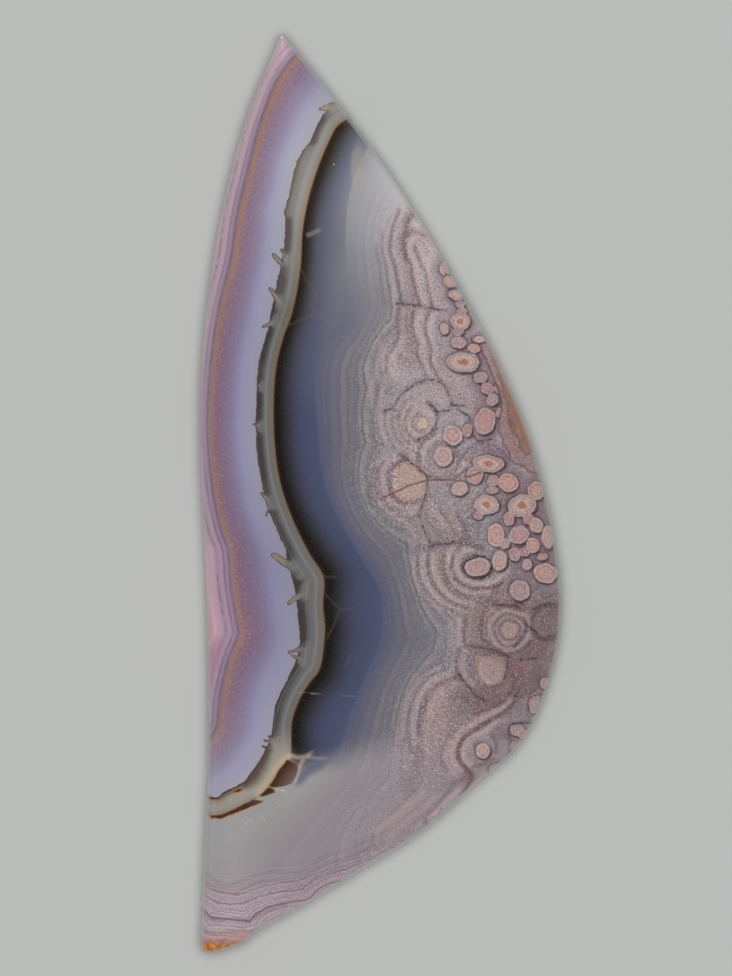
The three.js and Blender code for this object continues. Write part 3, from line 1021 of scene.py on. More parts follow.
CELL_JOINS: tuple[Line, ...] = (
    ((0.83, 10.38), (1.55, 10.35), (2.37, 10.15), (2.87, 10.1), (3.55, 10.0)),
    ((0.06, 4.51), (0.58, 4.66), (1.02, 5.4), (1.63, 5.84), (2.01, 6.06), (2.51, 6.27), (2.94, 6.2)),
    ((2.94, 6.2), (3.29, 6.06), (3.58, 5.7), (3.72, 5.27), (3.93, 4.85), (4.57, 4.82)),
    ((3.83, 5.03), (3.65, 4.56), (3.08, 4.49)),
    (
        (2.55, 4.92), (2.87, 4.7), (3.04, 4.42), (3.04, 4.14), (2.94, 3.71), (2.65, 3.35), (2.37, 3.14),
        (2.01, 3.0),
    ),
    (
        (1.02, 2.21), (1.37, 1.93), (1.73, 1.64), (2.08, 1.36), (2.37, 1.15), (2.51, 0.93), (2.45, 0.1),
        (2.1, -0.9),
    ),
    ((2.02, -1.0), (2.12, -1.48), (2.3, -1.89), (2.5, -2.3), (2.7, -2.7)),
    ((3.6, 11.15), (4.0, 11.22), (4.45, 11.25)),
    ((3.7, 10.7), (4.0, 10.52), (4.5, 10.6)),
    ((3.5, 11.98), (3.8, 12.0), (4.1, 11.95)),
    ((4.9, 4.0), (4.7, 4.3), (4.2, 4.6)),
    ((5.0, 3.2), (5.3, 2.9), (6.0, 3.0)),
    ((2.57, -2.77), (3.05, -2.7), (3.59, -2.67), (3.93, -2.6)),
    ((6.3, -6.0), (6.9, -6.02), (7.4, -6.05)),
    ((8.24, -6.26), (8.65, -6.05), (9.19, -5.92), (9.79, -5.97)),
    ((7.75, -6.7), (7.94, -7.14), (8.38, -7.43), (8.67, -7.82)),
    ((7.69, -7.49), (8.24, -7.35), (8.58, -7.69), (8.78, -7.83)),
    ((8.85, -7.8), (9.33, -7.69), (9.74, -7.55)),
    ((7.6, -7.73), (7.21, -8.31)),
    ((4.69, -8.2), (5.1, -8.27), (5.92, -8.41), (6.6, -8.61), (6.94, -8.82)),
    ((7.55, -8.99), (8.48, -8.9)), ((6.92, -8.94), (6.67, -10.07)),
    ((4.21, -9.7), (4.41, -10.05), (4.75, -10.46), (5.16, -10.93), (5.64, -11.21)),
    ((7.15, -12.5), (7.69, -12.44), (8.03, -12.44), (8.24, -12.54)),
    ((8.1, -11.07), (8.3, -10.93), (8.72, -10.87), (8.99, -11.0)),
)
LONG_CRACK: Line = ((0.12, -0.15), (0.85, 0.17), (1.47, 0.48), (2.31, 0.72), (3.04, 0.8), (4.3, 0.74))
SHORT_CRACK: Line = ((4.52, 0.94), (5.0, 1.06), (5.47, 1.24))


class EyeKind(enum.Enum):
    """How an eye looks: its warmth, and how much of a core it has."""

    WARM = (1.0, 0.35)
    CORED = (0.85, 1.0)
    CREAM = (0.55, 0.45)
    DIM = (0.3, 0.0)
    PALE = (0.15, 0.0)


@dataclass(frozen=True)
class Eye:
    """An orb cut through by the face: a small ringed ellipse."""

    centre: Point
    half_width: float
    half_height: float
    kind: EyeKind


EYES: tuple[Eye, ...] = (
    Eye((3.88, 3.22), 0.53, 0.55, EyeKind.WARM),
    Eye((3.36, 2.09), 0.56, 0.55, EyeKind.WARM),
    Eye((5.64, 3.99), 0.57, 0.75, EyeKind.CREAM),
    Eye((4.45, 7.2), 0.88, 0.6, EyeKind.CORED),
    Eye((5.82, 1.68), 0.92, 0.47, EyeKind.CORED),
    Eye((5.07, 1.04), 0.48, 0.46, EyeKind.CREAM),
    Eye((4.25, 0.33), 0.46, 0.42, EyeKind.WARM),
    Eye((6.92, 0.65), 0.53, 0.53, EyeKind.WARM),
    Eye((5.72, -0.55), 0.74, 0.52, EyeKind.CORED),
    Eye((7.66, -0.59), 0.83, 0.62, EyeKind.CORED),
    Eye((8.45, 0.2), 0.46, 0.54, EyeKind.WARM),
    Eye((8.44, -1.66), 0.4, 0.44, EyeKind.WARM),
    Eye((6.22, -2.19), 0.48, 0.6, EyeKind.WARM),
    Eye((7.49, -2.19), 0.55, 0.5, EyeKind.CREAM),
    Eye((9.1, -2.3), 0.37, 0.7, EyeKind.WARM),
    Eye((8.25, -2.75), 0.38, 0.42, EyeKind.WARM),
    Eye((6.43, -3.59), 0.44, 0.54, EyeKind.WARM),
    Eye((5.23, -3.93), 0.68, 0.52, EyeKind.CREAM),
    Eye((8.95, -4.28), 0.64, 0.56, EyeKind.WARM),
    Eye((5.52, -13.93), 0.43, 0.43, EyeKind.WARM),
    Eye((4.68, 3.5), 0.28, 0.38, EyeKind.DIM),
    Eye((6.07, 0.77), 0.33, 0.33, EyeKind.DIM),
    Eye((6.03, 0.25), 0.34, 0.19, EyeKind.PALE),
    Eye((6.94, -1.3), 0.33, 0.36, EyeKind.DIM),
    Eye((6.72, -2.67), 0.28, 0.28, EyeKind.DIM),
    Eye((7.8, -3.1), 0.28, 0.28, EyeKind.PALE),
    Eye((7.25, -3.25), 0.32, 0.37, EyeKind.DIM),
    Eye((7.94, -3.8), 0.3, 0.3, EyeKind.DIM),
    Eye((8.77, -3.39), 0.3, 0.2, EyeKind.DIM),
    Eye((7.52, -5.2), 0.55, 0.6, EyeKind.PALE),
    Eye((5.25, -1.15), 0.3, 0.2, EyeKind.DIM),
    Eye((8.0, -1.3), 0.3, 0.3, EyeKind.PALE),
    Eye((5.39, 6.38), 0.37, 0.33, EyeKind.PALE),
    Eye((5.78, 5.76), 0.36, 0.33, EyeKind.PALE),
    Eye((6.42, 5.8), 0.3, 0.28, EyeKind.DIM),
    Eye((6.05, 5.15), 0.35, 0.33, EyeKind.DIM),
    Eye((6.45, 4.45), 0.22, 0.3, EyeKind.DIM),
    Eye((3.43, 9.02), 0.26, 0.33, EyeKind.WARM),
    Eye((4.3, 9.42), 0.6, 0.45, EyeKind.CORED),
    Eye((4.2, 8.86), 0.3, 0.2, EyeKind.PALE),
    Eye((4.2, 8.27), 0.42, 0.35, EyeKind.CREAM),
    Eye((5.06, 7.97), 0.36, 0.24, EyeKind.WARM),
    Eye((5.32, 8.46), 0.4, 0.2, EyeKind.CORED),
    Eye((3.49, 12.31), 0.32, 0.4, EyeKind.WARM),
    Eye((3.77, 11.62), 0.36, 0.36, EyeKind.WARM),
    Eye((4.1, 10.89), 0.5, 0.32, EyeKind.WARM),
    Eye((4.3, 10.4), 0.3, 0.22, EyeKind.DIM),
    Eye((4.4, 10.0), 0.28, 0.2, EyeKind.PALE),
    Eye((7.4, -12.82), 0.42, 0.36, EyeKind.DIM),
    Eye((7.8, -13.1), 0.36, 0.3, EyeKind.DIM),
    Eye((8.35, -11.35), 0.32, 0.6, EyeKind.DIM),
    Eye((8.95, -10.3), 0.3, 0.36, EyeKind.DIM),
    Eye((7.24, -13.75), 0.26, 0.3, EyeKind.DIM),
    Eye((6.28, -14.92), 0.46, 0.26, EyeKind.DIM),
)


@dataclass(frozen=True)
class Stain:
    """An oval patch of another tint, soft over some distance at its edge."""

    centre: Point
    half_width: float
    half_height: float
    tint: Colour
    strength: float
    soft: float


STAINS: tuple[Stain, ...] = (
    Stain((-1.3, 17.8), 0.35, 1.2, (170, 160, 150), 0.5, 0.5),
    Stain((6.5, 2.2), 1.2, 0.6, (134, 106, 122), 0.5, 0.3),
    Stain((4.6, 6.1), 0.6, 0.6, (168, 158, 164), 0.6, 0.3),
    Stain((3.3, 5.4), 0.5, 0.55, (176, 154, 156), 0.5, 0.25),
    # Painted shadow at the right of the cored eye at (4.45, 7.2)
    Stain((5.1, 7.1), 0.5, 0.7, (120, 104, 112), 0.6, 0.3),
    Stain((1.9, 5.2), 0.8, 0.5, (172, 152, 154), 0.4, 0.3),
    Stain((1.6, 7.6), 0.8, 0.9, (140, 120, 122), 0.4, 0.4),
    Stain((3.2, 8.2), 0.4, 1.6, (148, 138, 146), 0.5, 0.3),
    Stain((3.0, 12.0), 0.4, 1.2, (156, 146, 152), 0.5, 0.3),
    Stain((2.6, 14.2), 0.6, 0.7, (174, 142, 138), 0.5, 0.3),
    Stain(CRACKED_DISC, 0.96, 1.1, (180, 150, 138), 0.75, 0.06),
    Stain(DISC_WITH_CRYSTALS, 0.6, 0.6, (168, 148, 142), 0.6, 0.08),
    Stain((2.25, 3.85), 0.26, 0.3, (206, 176, 160), 0.8, 0.1),
    Stain((2.4, -1.6), 1.2, 1.0, (146, 130, 130), 0.4, 0.4),
    Stain((3.9, -1.6), 0.5, 0.8, (158, 134, 130), 0.5, 0.3),
    Stain((4.9, -1.8), 0.5, 0.8, (128, 112, 116), 0.5, 0.3),
    Stain((4.75, -3.95), 1.15, 0.95, (122, 114, 112), 0.6, 0.15),
    # Painted shadow: a dark ring round the cream eye at (5.23, -3.93)
    Stain((5.23, -3.95), 0.88, 0.7, (70, 56, 56), 0.85, 0.14),
    Stain((6.45, -0.75), 0.45, 0.5, (142, 130, 134), 0.6, 0.2),
    Stain((7.7, -0.6), 1.15, 0.95, (116, 96, 102), 0.5, 0.12),
    Stain((8.2, -2.2), 1.3, 1.6, (112, 92, 98), 0.4, 0.4),
    Stain((7.35, -6.1), 0.5, 0.35, (122, 76, 82), 0.6, 0.25),
    Stain(SPECKLED_DISC, 0.52, 0.5, (182, 152, 148), 0.6, 0.12),
    Stain(PITTED_DISC, 0.9, 0.9, (126, 102, 102), 0.6, 0.12),
    Stain((8.3, -8.4), 0.7, 0.5, (124, 92, 96), 0.5, 0.3),
    Stain(GREENISH_DISC, 0.78, 0.84, (170, 144, 140), 0.7, 0.08),
    Stain((5.3, -9.3), 0.22, 0.6, (176, 132, 126), 0.4, 0.2),
    Stain((7.6, -9.5), 0.6, 0.4, (146, 104, 108), 0.5, 0.3),
    Stain((8.9, -10.3), 0.4, 0.5, (132, 84, 82), 0.6, 0.2),
    Stain((5.5, -11.1), 1.2, 0.6, (112, 86, 92), 0.5, 0.4),
    Stain((3.0, -12.0), 0.6, 1.6, (170, 146, 144), 0.5, 0.5),
    Stain((5.4, -11.75), 0.5, 0.3, (134, 104, 106), 0.5, 0.1),
    Stain((6.6, -12.9), 0.8, 0.5, (112, 92, 98), 0.5, 0.4),
    Stain((4.6, -15.6), 0.5, 1.0, (152, 126, 134), 0.4, 0.4),
)


# The growth pattern, as numbers at every place on the stone


@dataclass
class GrowthPattern:
    """Turns the survey into numbers at every place on the stone.

    Each field is a distance or a share that the finish's colours are laid along, so the
    lines stay sharp however close the eye comes. Lengths are in mm.
    """

    places: np.ndarray
    curve_steps: int = 5
    lamella_steps: int = 3
    crack_steps: int = 4
    growth_span: float = 4.0
    fin_reach: float = 1.0
    fin_end: float = 0.95
    lamella_reach: float = 1.0
    far_gap: float = 2.0
    far_eye: float = 3.0
    far_ring: float = 6.0
    least_stripe: float = 0.2
    shade_shift: Point = (0.07, -0.1)
    eye_wobble: float = 0.06
    eye_ripple: float = 0.03
    far_left: Line = ((-30.0, -20.0), (-30.0, 40.0), (0.0, 40.0))
    far_above: Line = ((-30.0, 40.0), (30.0, 40.0), (30.0, 0.0))
    far_right: Line = ((30.0, 0.0), (30.0, 12.0))
    fields: dict[str, np.ndarray] = field(default_factory=dict)

    def signed(self, points: Line, beyond: Line, smooth: bool = True) -> np.ndarray:
        """Distance from a line, negative on one side.

        Args:
            points: the line's survey points.
            beyond: far places that close a ring with the line round its negative side.
            smooth: false for a line with sharp turns.

        Returns:
            One signed distance for each place.
        """
        corners = shifted(points)
        line = smooth_line(corners, self.curve_steps) if smooth else corners
        away = distance_to_line(self.places, line)
        return np.where(inside(self.places, np.vstack([line, beyond])), -away, away)

    def stroke(self, start: Point, end: Point) -> tuple[np.ndarray, np.ndarray]:
        """Distance from a straight stroke, and the share along it."""
        a, b = shifted((start, end))
        along = b - a
        offset = self.places - a
        share = np.clip(offset @ along / max(along @ along, LEAST_SQUARE), 0, 1)
        return np.linalg.norm(offset - share[:, None] * along, axis=1), share

    def nearest(self, lines: tuple[Line, ...]) -> np.ndarray:
        """Distance to the nearest of several lines, as far as it matters."""
        least = np.full(len(self.places), self.far_gap)
        for line in lines:
            least = np.minimum(least, distance_to_line(self.places, shifted(line)))
        return least

    def measure_left(self) -> None:
        """The seam, the lilac zone, the river and the dark vein."""
        f = self.fields
        f["seam"] = self.signed(OCHRE_SEAM, self.far_left)
        base = self.signed(LILAC_BORDER, self.far_left, smooth=False)
        fins = np.full(len(self.places), self.fin_reach)
        fading = np.zeros(len(self.places))
        for fin in FINS:
            away, share = self.stroke(fin.tip, fin.root)
            gap = away - (fin.tip_width + (fin.root_width - fin.tip_width) * share) / 2
            fading = np.where(gap < fins, share, fading)
            fins = np.minimum(fins, gap)
        f["border"] = np.maximum(base, np.where(fading < self.fin_end, -fins, base))
        f["fin"] = fins
        f["fin_share"] = fading
        f["vein"] = self.signed(DARK_VEIN, self.far_left)
        f["pool"] = self.signed(POOL_EDGE, self.far_left)
        f["floor"] = self.signed(POOL_FLOOR, self.far_above)
        f["lilac"] = f["seam"] / np.maximum(f["seam"] - base, LEAST_GAP)
        f["river"] = base / np.maximum(base - f["vein"], LEAST_GAP)

    def measure_bend(self) -> None:
        """The brown cells in the river's bend, and the veins round them."""
        cells, fading = np.full(len(self.places), self.far_gap), np.zeros(len(self.places))
        for cell in BEND_CELLS:
            ring = shifted(cell.corners + cell.corners[:1])
            away = distance_to_line(self.places, ring)
            away = np.where(inside(self.places, ring), -away, away)
            from_dark = distance_to_line(self.places, shifted(cell.dark_side))
            fading = np.where(away < cells, np.minimum(from_dark / cell.fade, 1.0), fading)
            cells = np.minimum(cells, away)
        self.fields["bend_cell"] = cells
        self.fields["bend_fade"] = fading
        for number, wash in enumerate(RIVER_WASHES):
            self.fields[f"wash_{number}"] = self.nearest(wash.lines)
        self.fields["faint_vein"] = self.nearest(FAINT_VEINS)
        self.fields["hair"] = self.nearest(PALE_HAIRS)
        self.fields["painted_glint"] = self.nearest(PAINTED_GLINTS)

    def measure_lamellae(self) -> None:
        """The nearest dark and the nearest pale growth line, and how strong it is."""
        for name, lines in (("dark", DARK_LAMELLAE), ("pale", PALE_LAMELLAE), ("brown", BROWN_BANDS)):
            gap = np.full(len(self.places), self.lamella_reach)
            strength = np.zeros(len(self.places))
            for line in lines:
                curve = smooth_line(shifted(line.points), self.lamella_steps)
                away = distance_to_line(self.places, curve)
                strength = np.where(away < gap, line.strength, strength)
                gap = np.minimum(gap, away)
            self.fields[name + "_gap"] = gap
            self.fields[name + "_strength"] = strength

    def measure_stains(self) -> None:
        """How far out each place is from each stain's rim."""
        for number, stain in enumerate(STAINS):
            offset = self.places - shifted((stain.centre,))[0]
            radius = np.hypot(offset[:, 0] / stain.half_width, offset[:, 1] / stain.half_height)
            gap = (radius - 1) * math.sqrt(stain.half_width * stain.half_height)
            self.fields[f"stain_{number}"] = np.minimum(gap, self.far_gap)

    def measure_crust(self) -> None:
        """The ochre crust at the right edge, and the rough husk inside it."""
        self.fields["crust"] = self.signed(CRUST_EDGE, self.far_right, smooth=False)
        self.fields["husk"] = self.signed(HUSK_EDGE, self.far_right, smooth=False)

    def measure_growth(self) -> None:
        """The bands of the grey zone, which bend round the lobes."""
        gaps = []
        for lobe in LOBES:
            away, _ = self.stroke(lobe.start, lobe.end)
            gaps.append(away - lobe.radius)
        lobe = np.min(gaps, axis=0)
        pool = np.maximum(self.fields["pool"], 0)
        share = pool / np.maximum(pool + np.maximum(lobe, 0), LEAST_GAP)
        self.fields["growth"] = self.growth_span * share - np.minimum(lobe, 0)
        self.fields["nearness"] = share

    def measure_eyes(self) -> None:
        """The nearest eye: how far out in it a place is, its gap, warmth and core."""
        f = {name: np.zeros(len(self.places)) for name in ("eye_warm", "eye_core", "eye_tone")}
        f["eye_ring"] = np.full(len(self.places), self.far_ring)
        f["eye_gap"] = np.full(len(self.places), np.inf)
        f["eye_shade"] = np.full(len(self.places), self.far_eye)
        for number, eye in enumerate(EYES):
            offset = self.places - shifted((eye.centre,))[0]
            half = np.array([eye.half_width, eye.half_height])
            size = math.sqrt(eye.half_width * eye.half_height)
            angle = np.arctan2(offset[:, 1], offset[:, 0])
            wobble = self.eye_wobble * np.sin(2 * angle + 1.7 * number)
            wobble += self.eye_ripple * np.sin(5 * angle + 0.9 * number)
            radius = np.linalg.norm(offset / half, axis=1) * (1 + wobble)
            cast = np.linalg.norm((offset - self.shade_shift) / half, axis=1)
            f["eye_shade"] = np.minimum(f["eye_shade"], (cast - 1) * size)
            gap = (radius - 1) * size
            nearer = gap < f["eye_gap"]
            warm, core = eye.kind.value
            for name, value in (
                ("eye_gap", gap),
                ("eye_ring", radius),
                ("eye_warm", warm),
                ("eye_core", core),
                ("eye_tone", math.sin(2.4 * number) / 2 + 0.5),
            ):
                f[name] = np.where(nearer, value, f[name])
        f["eye_gap"] = np.minimum(f["eye_gap"], self.far_eye)
        f["eye_ring"] = np.minimum(f["eye_ring"], self.far_ring)
        self.fields.update(f)

    def measure_cracks(self) -> None:
        """The dark joins between cells, and the one long brown crack."""
        self.fields["join"] = self.nearest(CELL_JOINS)
        crack = np.full(len(self.places), self.far_gap)
        for line in (LONG_CRACK, SHORT_CRACK):
            curve = smooth_line(shifted(line), self.crack_steps)
            crack = np.minimum(crack, distance_to_line(self.places, curve))
        self.fields["crack"] = crack

    def measure_foot(self) -> None:
        """The stripes across the foot."""
        first = self.signed(FIRST_STRIPE, self.far_above)
        main = self.signed(MAIN_STRIPE, self.far_above)
        self.fields["stripe"] = first / np.maximum(first - main, self.least_stripe)

    def measure(self) -> dict[str, np.ndarray]:
        """Every field, by name."""
        self.measure_left()
        self.measure_bend()
        self.measure_crust()
        self.measure_growth()
        self.measure_lamellae()
        self.measure_stains()
        self.measure_eyes()
        self.measure_cracks()
        self.measure_foot()
        return self.fields


# The finish


# Where a Mix node keeps its colour sockets
COLOUR_INPUTS = slice(6, 8)
COLOUR_OUTPUT = 2


def linear(colour: Colour) -> tuple[float, float, float, float]:
    """A colour as seen, from 0 to 255, as the shader's own linear one."""
    steps = (c / 255 for c in colour)
    r, g, b = (c / 12.92 if c <= 0.04045 else ((c + 0.055) / 1.055) ** 2.4 for c in steps)
    return (r, g, b, 1.0)


@dataclass
class Wiring:
    """Adds shader nodes to one tree and joins them."""

    tree: bpy.types.NodeTree

    def node(self, kind: str, **settings: object) -> bpy.types.Node:
        """A new node with the given settings."""
        node = self.tree.nodes.new(kind)
        for name, value in settings.items():
            setattr(node, name, value)
        return node

    def feed(self, socket: Socket, source: object) -> None:
        """Joins a socket to another one, or sets its value."""
        if isinstance(source, bpy.types.NodeSocket):
            self.tree.links.new(source, socket)
        else:
            socket.default_value = source

    def field(self, name: str) -> Socket:
        """A number that the mesh carries at each point."""
        return self.node("ShaderNodeAttribute", attribute_name=name).outputs["Fac"]

    def math(self, operation: str, *sources: object) -> Socket:
        """One sum of up to three numbers."""
        node = self.node("ShaderNodeMath", operation=operation)
        for socket, source in zip(node.inputs, sources):
            self.feed(socket, source)
        return node.outputs[0]

    def times(self, *sources: object) -> Socket:
        """The product of all the sources."""
        total = sources[0]
        for source in sources[1:]:
            total = self.math("MULTIPLY", total, source)
        return total

    def plus(self, *sources: object) -> Socket:
        """The sum of all the sources."""
        total = sources[0]
        for source in sources[1:]:
            total = self.math("ADD", total, source)
        return total

    def rise(self, source: Socket, low: float, high: float) -> Socket:
        """A smooth step from 0 at low to 1 at high; a fall where low is the greater."""
        node = self.node("ShaderNodeMapRange", interpolation_type="SMOOTHSTEP")
        falls = low > high
        self.feed(node.inputs["Value"], source)
        node.inputs["From Min"].default_value = min(low, high)
        node.inputs["From Max"].default_value = max(low, high)
        node.inputs["To Min"].default_value = 1.0 if falls else 0.0
        node.inputs["To Max"].default_value = 0.0 if falls else 1.0
        return node.outputs["Result"]

    def line(self, source: object, half_width: float, soft: float = 0.0) -> Socket:
        """A line where the source is nought, 1 on it and 0 past its half width."""
        away = self.math("ABSOLUTE", source)
        return self.rise(away, half_width + soft, max(half_width - soft, 0.0) * 0.4)

    def along(self, source: Socket, places: list[float], colours: list[tuple]) -> Socket:
        """Linear colours laid along a number, held beyond both ends."""
        first, last = places[0], places[-1]
        reach = self.node("ShaderNodeMapRange", clamp=True)
        self.feed(reach.inputs["Value"], source)
        reach.inputs["From Min"].default_value = first
        reach.inputs["From Max"].default_value = last
        node = self.node("ShaderNodeValToRGB")
        self.feed(node.inputs["Fac"], reach.outputs["Result"])
        marks = node.color_ramp.elements
        while len(marks) < len(places):
            marks.new(0.5)
        for mark, place, colour in zip(marks, places, colours):
            mark.position = (place - first) / (last - first)
            mark.color = colour
        return node.outputs["Color"]

    def ramp(self, source: Socket, stops: Stops) -> Socket:
        """Colours as seen, laid along a number."""
        return self.along(source, [place for place, _ in stops], [linear(colour) for _, colour in stops])

    def levels(self, source: Socket, stops: Levels) -> Socket:
        """Plain values laid along a number, joined by straight runs."""
        return self.along(source, [place for place, _ in stops], [(v, v, v, 1.0) for _, v in stops])

    def mix(self, share: object, first: object, second: object, blend: str = "MIX") -> Socket:
        """Two colours mixed."""
        node = self.node("ShaderNodeMix", data_type="RGBA", blend_type=blend, clamp_factor=True)
        self.feed(node.inputs["Factor"], share)
        for socket, source in zip(node.inputs[COLOUR_INPUTS], (first, second)):
            self.feed(socket, linear(source) if isinstance(source, tuple) else source)
        return node.outputs[COLOUR_OUTPUT]

    def noise(self, place: Socket, per_mm: float, detail: float = 2.0, rough: float = 0.5) -> Socket:
        """A cloudy number about 0.5 that changes with the place."""
        node = self.node("ShaderNodeTexNoise", noise_dimensions="3D")
        self.feed(node.inputs["Vector"], place)
        node.inputs["Scale"].default_value = per_mm
        node.inputs["Detail"].default_value = detail
        node.inputs["Roughness"].default_value = rough
        return node.outputs["Fac"]

    def stripes(self, source: object, per_unit: float, seed: float, detail: float = 1.0) -> Socket:
        """A cloudy number about 0.5 that changes along one number alone."""
        node = self.node("ShaderNodeTexNoise", noise_dimensions="1D")
        self.feed(node.inputs["W"], self.math("ADD", source, seed))
        node.inputs["Scale"].default_value = per_unit
        node.inputs["Detail"].default_value = detail
        return node.outputs["Fac"]


@dataclass(frozen=True)
class AgateColours:
    """The stone's colours, each list laid along a distance in mm or a share."""

    # The stops far from the seam, by the edge, are partly painted light: lighter than the rind's own
    # colour, against the shade of the shoulder
    rind: Stops = (
        (0.0, (149, 118, 112)), (0.05, (149, 120, 118)), (0.09, (148, 123, 129)), (0.14, (138, 116, 130)),
        (0.18, (132, 110, 128)), (0.23, (140, 119, 138)), (0.29, (152, 132, 152)),
        (0.36, (156, 136, 155)), (0.42, (151, 129, 149)), (0.47, (142, 117, 139)),
        (0.53, (158, 133, 152)), (0.6, (172, 147, 164)), (0.72, (178, 152, 169)), (0.8, (170, 142, 160)),
        (0.86, (164, 134, 155)), (0.93, (180, 150, 168)), (1.05, (186, 154, 170)), (1.2, (190, 157, 171)),
        (1.32, (194, 162, 176)), (1.42, (200, 172, 186)), (1.52, (192, 160, 174)), (1.7, (188, 152, 166)),
    )
    # Pale pink: partly the rind's own tint, partly painted light at the edge
    rind_pale_and_painted_light: Colour = (214, 186, 192)
    rind_deep: Colour = (112, 80, 116)
    rind_dash: Colour = (104, 68, 98)
    rose: Colour = (164, 98, 122)
    salmon: Colour = (206, 140, 142)
    lilac: Stops = (
        (0.0, (148, 115, 107)), (0.04, (145, 113, 113)), (0.09, (140, 110, 119)), (0.15, (135, 106, 125)),
        (0.25, (130, 107, 131)), (0.35, (129, 114, 140)), (0.45, (131, 121, 148)),
        (0.55, (138, 132, 162)), (0.65, (145, 142, 170)), (0.8, (148, 147, 171)), (0.93, (149, 148, 166)),
        (1.0, (146, 145, 158)),
    )
    lilac_top: Stops = (
        (0.0, (156, 122, 112)), (0.06, (150, 119, 121)), (0.15, (145, 119, 136)), (0.25, (142, 122, 145)),
        (0.35, (145, 131, 154)), (0.45, (148, 137, 161)), (0.55, (155, 148, 172)),
        (0.65, (162, 160, 182)), (0.8, (168, 168, 184)), (1.0, (168, 168, 178)),
    )
    lilac_deep: Colour = (92, 78, 106)
    lilac_pale: Colour = (182, 174, 190)
    lilac_speck: Colour = (186, 158, 162)
    lilac_dark_speck: Colour = (88, 66, 92)
    seam: Colour = (178, 128, 84)
    seam_bead: Colour = (188, 158, 156)
    river: Stops = (
        (0.0, (70, 58, 54)), (0.12, (66, 59, 57)), (0.24, (72, 70, 71)), (0.34, (86, 86, 88)),
        (0.46, (101, 101, 104)), (0.6, (107, 107, 107)), (0.8, (107, 106, 103)), (1.0, (105, 102, 96)),
    )
    river_top: Stops = (
        (0.0, (116, 103, 93)), (0.12, (118, 108, 101)), (0.26, (131, 126, 121)), (0.44, (143, 140, 138)),
        (0.6, (149, 147, 144)), (0.78, (149, 146, 141)), (1.0, (149, 143, 134)),
    )
    river_light: Colour = (150, 148, 142)
    river_dark: Colour = (78, 74, 72)
    river_cream: Colour = (158, 151, 141)
    fin: Colour = (142, 132, 121)
    fin_top: Colour = (172, 158, 142)
    outline: Colour = (70, 50, 40)
    amber: Colour = (124, 98, 70)
    amber_top: Colour = (146, 112, 76)
    vein: Colour = (62, 42, 27)
    faint_vein: Colour = (146, 120, 102)
    pool: Stops = (
        (0.0, (44, 28, 18)), (0.1, (30, 20, 14)), (0.22, (22, 16, 14)), (0.35, (26, 23, 22)),
        (0.5, (35, 35, 36)), (0.65, (42, 41, 45)), (0.8, (49, 50, 61)), (1.0, (56, 58, 76)),
        (1.2, (61, 64, 86)), (1.4, (64, 69, 94)), (1.7, (67, 73, 99)), (2.3, (72, 77, 103)),
        (3.0, (79, 83, 106)),
    )
    pool_high: Stops = (
        (0.0, (40, 27, 18)), (0.12, (33, 23, 18)), (0.3, (43, 38, 35)), (0.5, (58, 56, 57)),
        (0.7, (74, 74, 82)), (0.9, (83, 84, 98)), (1.2, (91, 92, 110)), (1.5, (99, 101, 118)),
        (1.9, (110, 111, 122)), (2.3, (120, 118, 127)),
    )
    pool_top: Stops = (
        (0.0, (66, 44, 28)), (0.12, (48, 31, 21)), (0.3, (47, 39, 34)), (0.5, (62, 58, 56)),
        (0.7, (77, 76, 80)), (0.9, (88, 89, 100)), (1.1, (99, 101, 116)), (1.4, (110, 113, 130)),
        (1.7, (124, 126, 141)), (2.1, (140, 140, 150)),
    )
    grey: Stops = (
        (0.0, (80, 85, 110)), (0.12, (86, 89, 108)), (0.25, (96, 95, 110)), (0.4, (104, 102, 112)),
        (0.55, (108, 107, 115)), (0.7, (115, 113, 120)), (0.85, (128, 123, 128)), (1.0, (142, 132, 135)),
    )
    # Partly painted light: lighter than the grey's own colour, to make up for the shade of the right
    # shoulder near the top
    grey_top: Stops = (
        (0.0, (158, 157, 160)), (0.25, (170, 169, 173)), (0.5, (182, 179, 183)), (0.75, (196, 186, 189)),
        (1.0, (204, 190, 193)),
    )
    milky: Stops = (
        (0.0, (152, 149, 149)), (0.12, (146, 142, 143)), (0.28, (142, 136, 140)), (0.55, (142, 135, 141)),
        (0.8, (146, 136, 142)), (1.0, (148, 134, 139)),
    )
    lobes: Stops = (
        (-20.0, (130, 115, 120)), (-16.0, (116, 100, 106)), (-12.0, (124, 112, 116)),
        (-8.5, (129, 118, 121)), (-6.0, (129, 118, 122)), (-3.0, (132, 125, 130)), (2.0, (154, 145, 150)),
        (6.0, (165, 154, 159)), (12.0, (181, 169, 173)), (16.0, (200, 188, 191)),
    )
    milky_pale: Colour = (164, 163, 164)
    milky_rosy: Colour = (166, 142, 150)
    brown_band: Colour = (112, 78, 80)
    lamella_light: Colour = (194, 176, 174)
    lamella_rosy: Colour = (192, 169, 167)
    lamella_dark: Colour = (78, 56, 62)
    grain_light: Colour = (214, 202, 202)
    grain_dark: Colour = (58, 46, 52)
    blush: Colour = (158, 130, 129)
    dusk: Colour = (104, 82, 86)
    matrix: Colour = (128, 106, 115)
    shadow: Colour = (78, 58, 66)
    join: Colour = (60, 42, 48)
    join_halo: Colour = (98, 80, 88)
    crack: Colour = (104, 66, 56)
    crack_halo: Colour = (172, 140, 126)
    hair: Colour = (196, 190, 198)
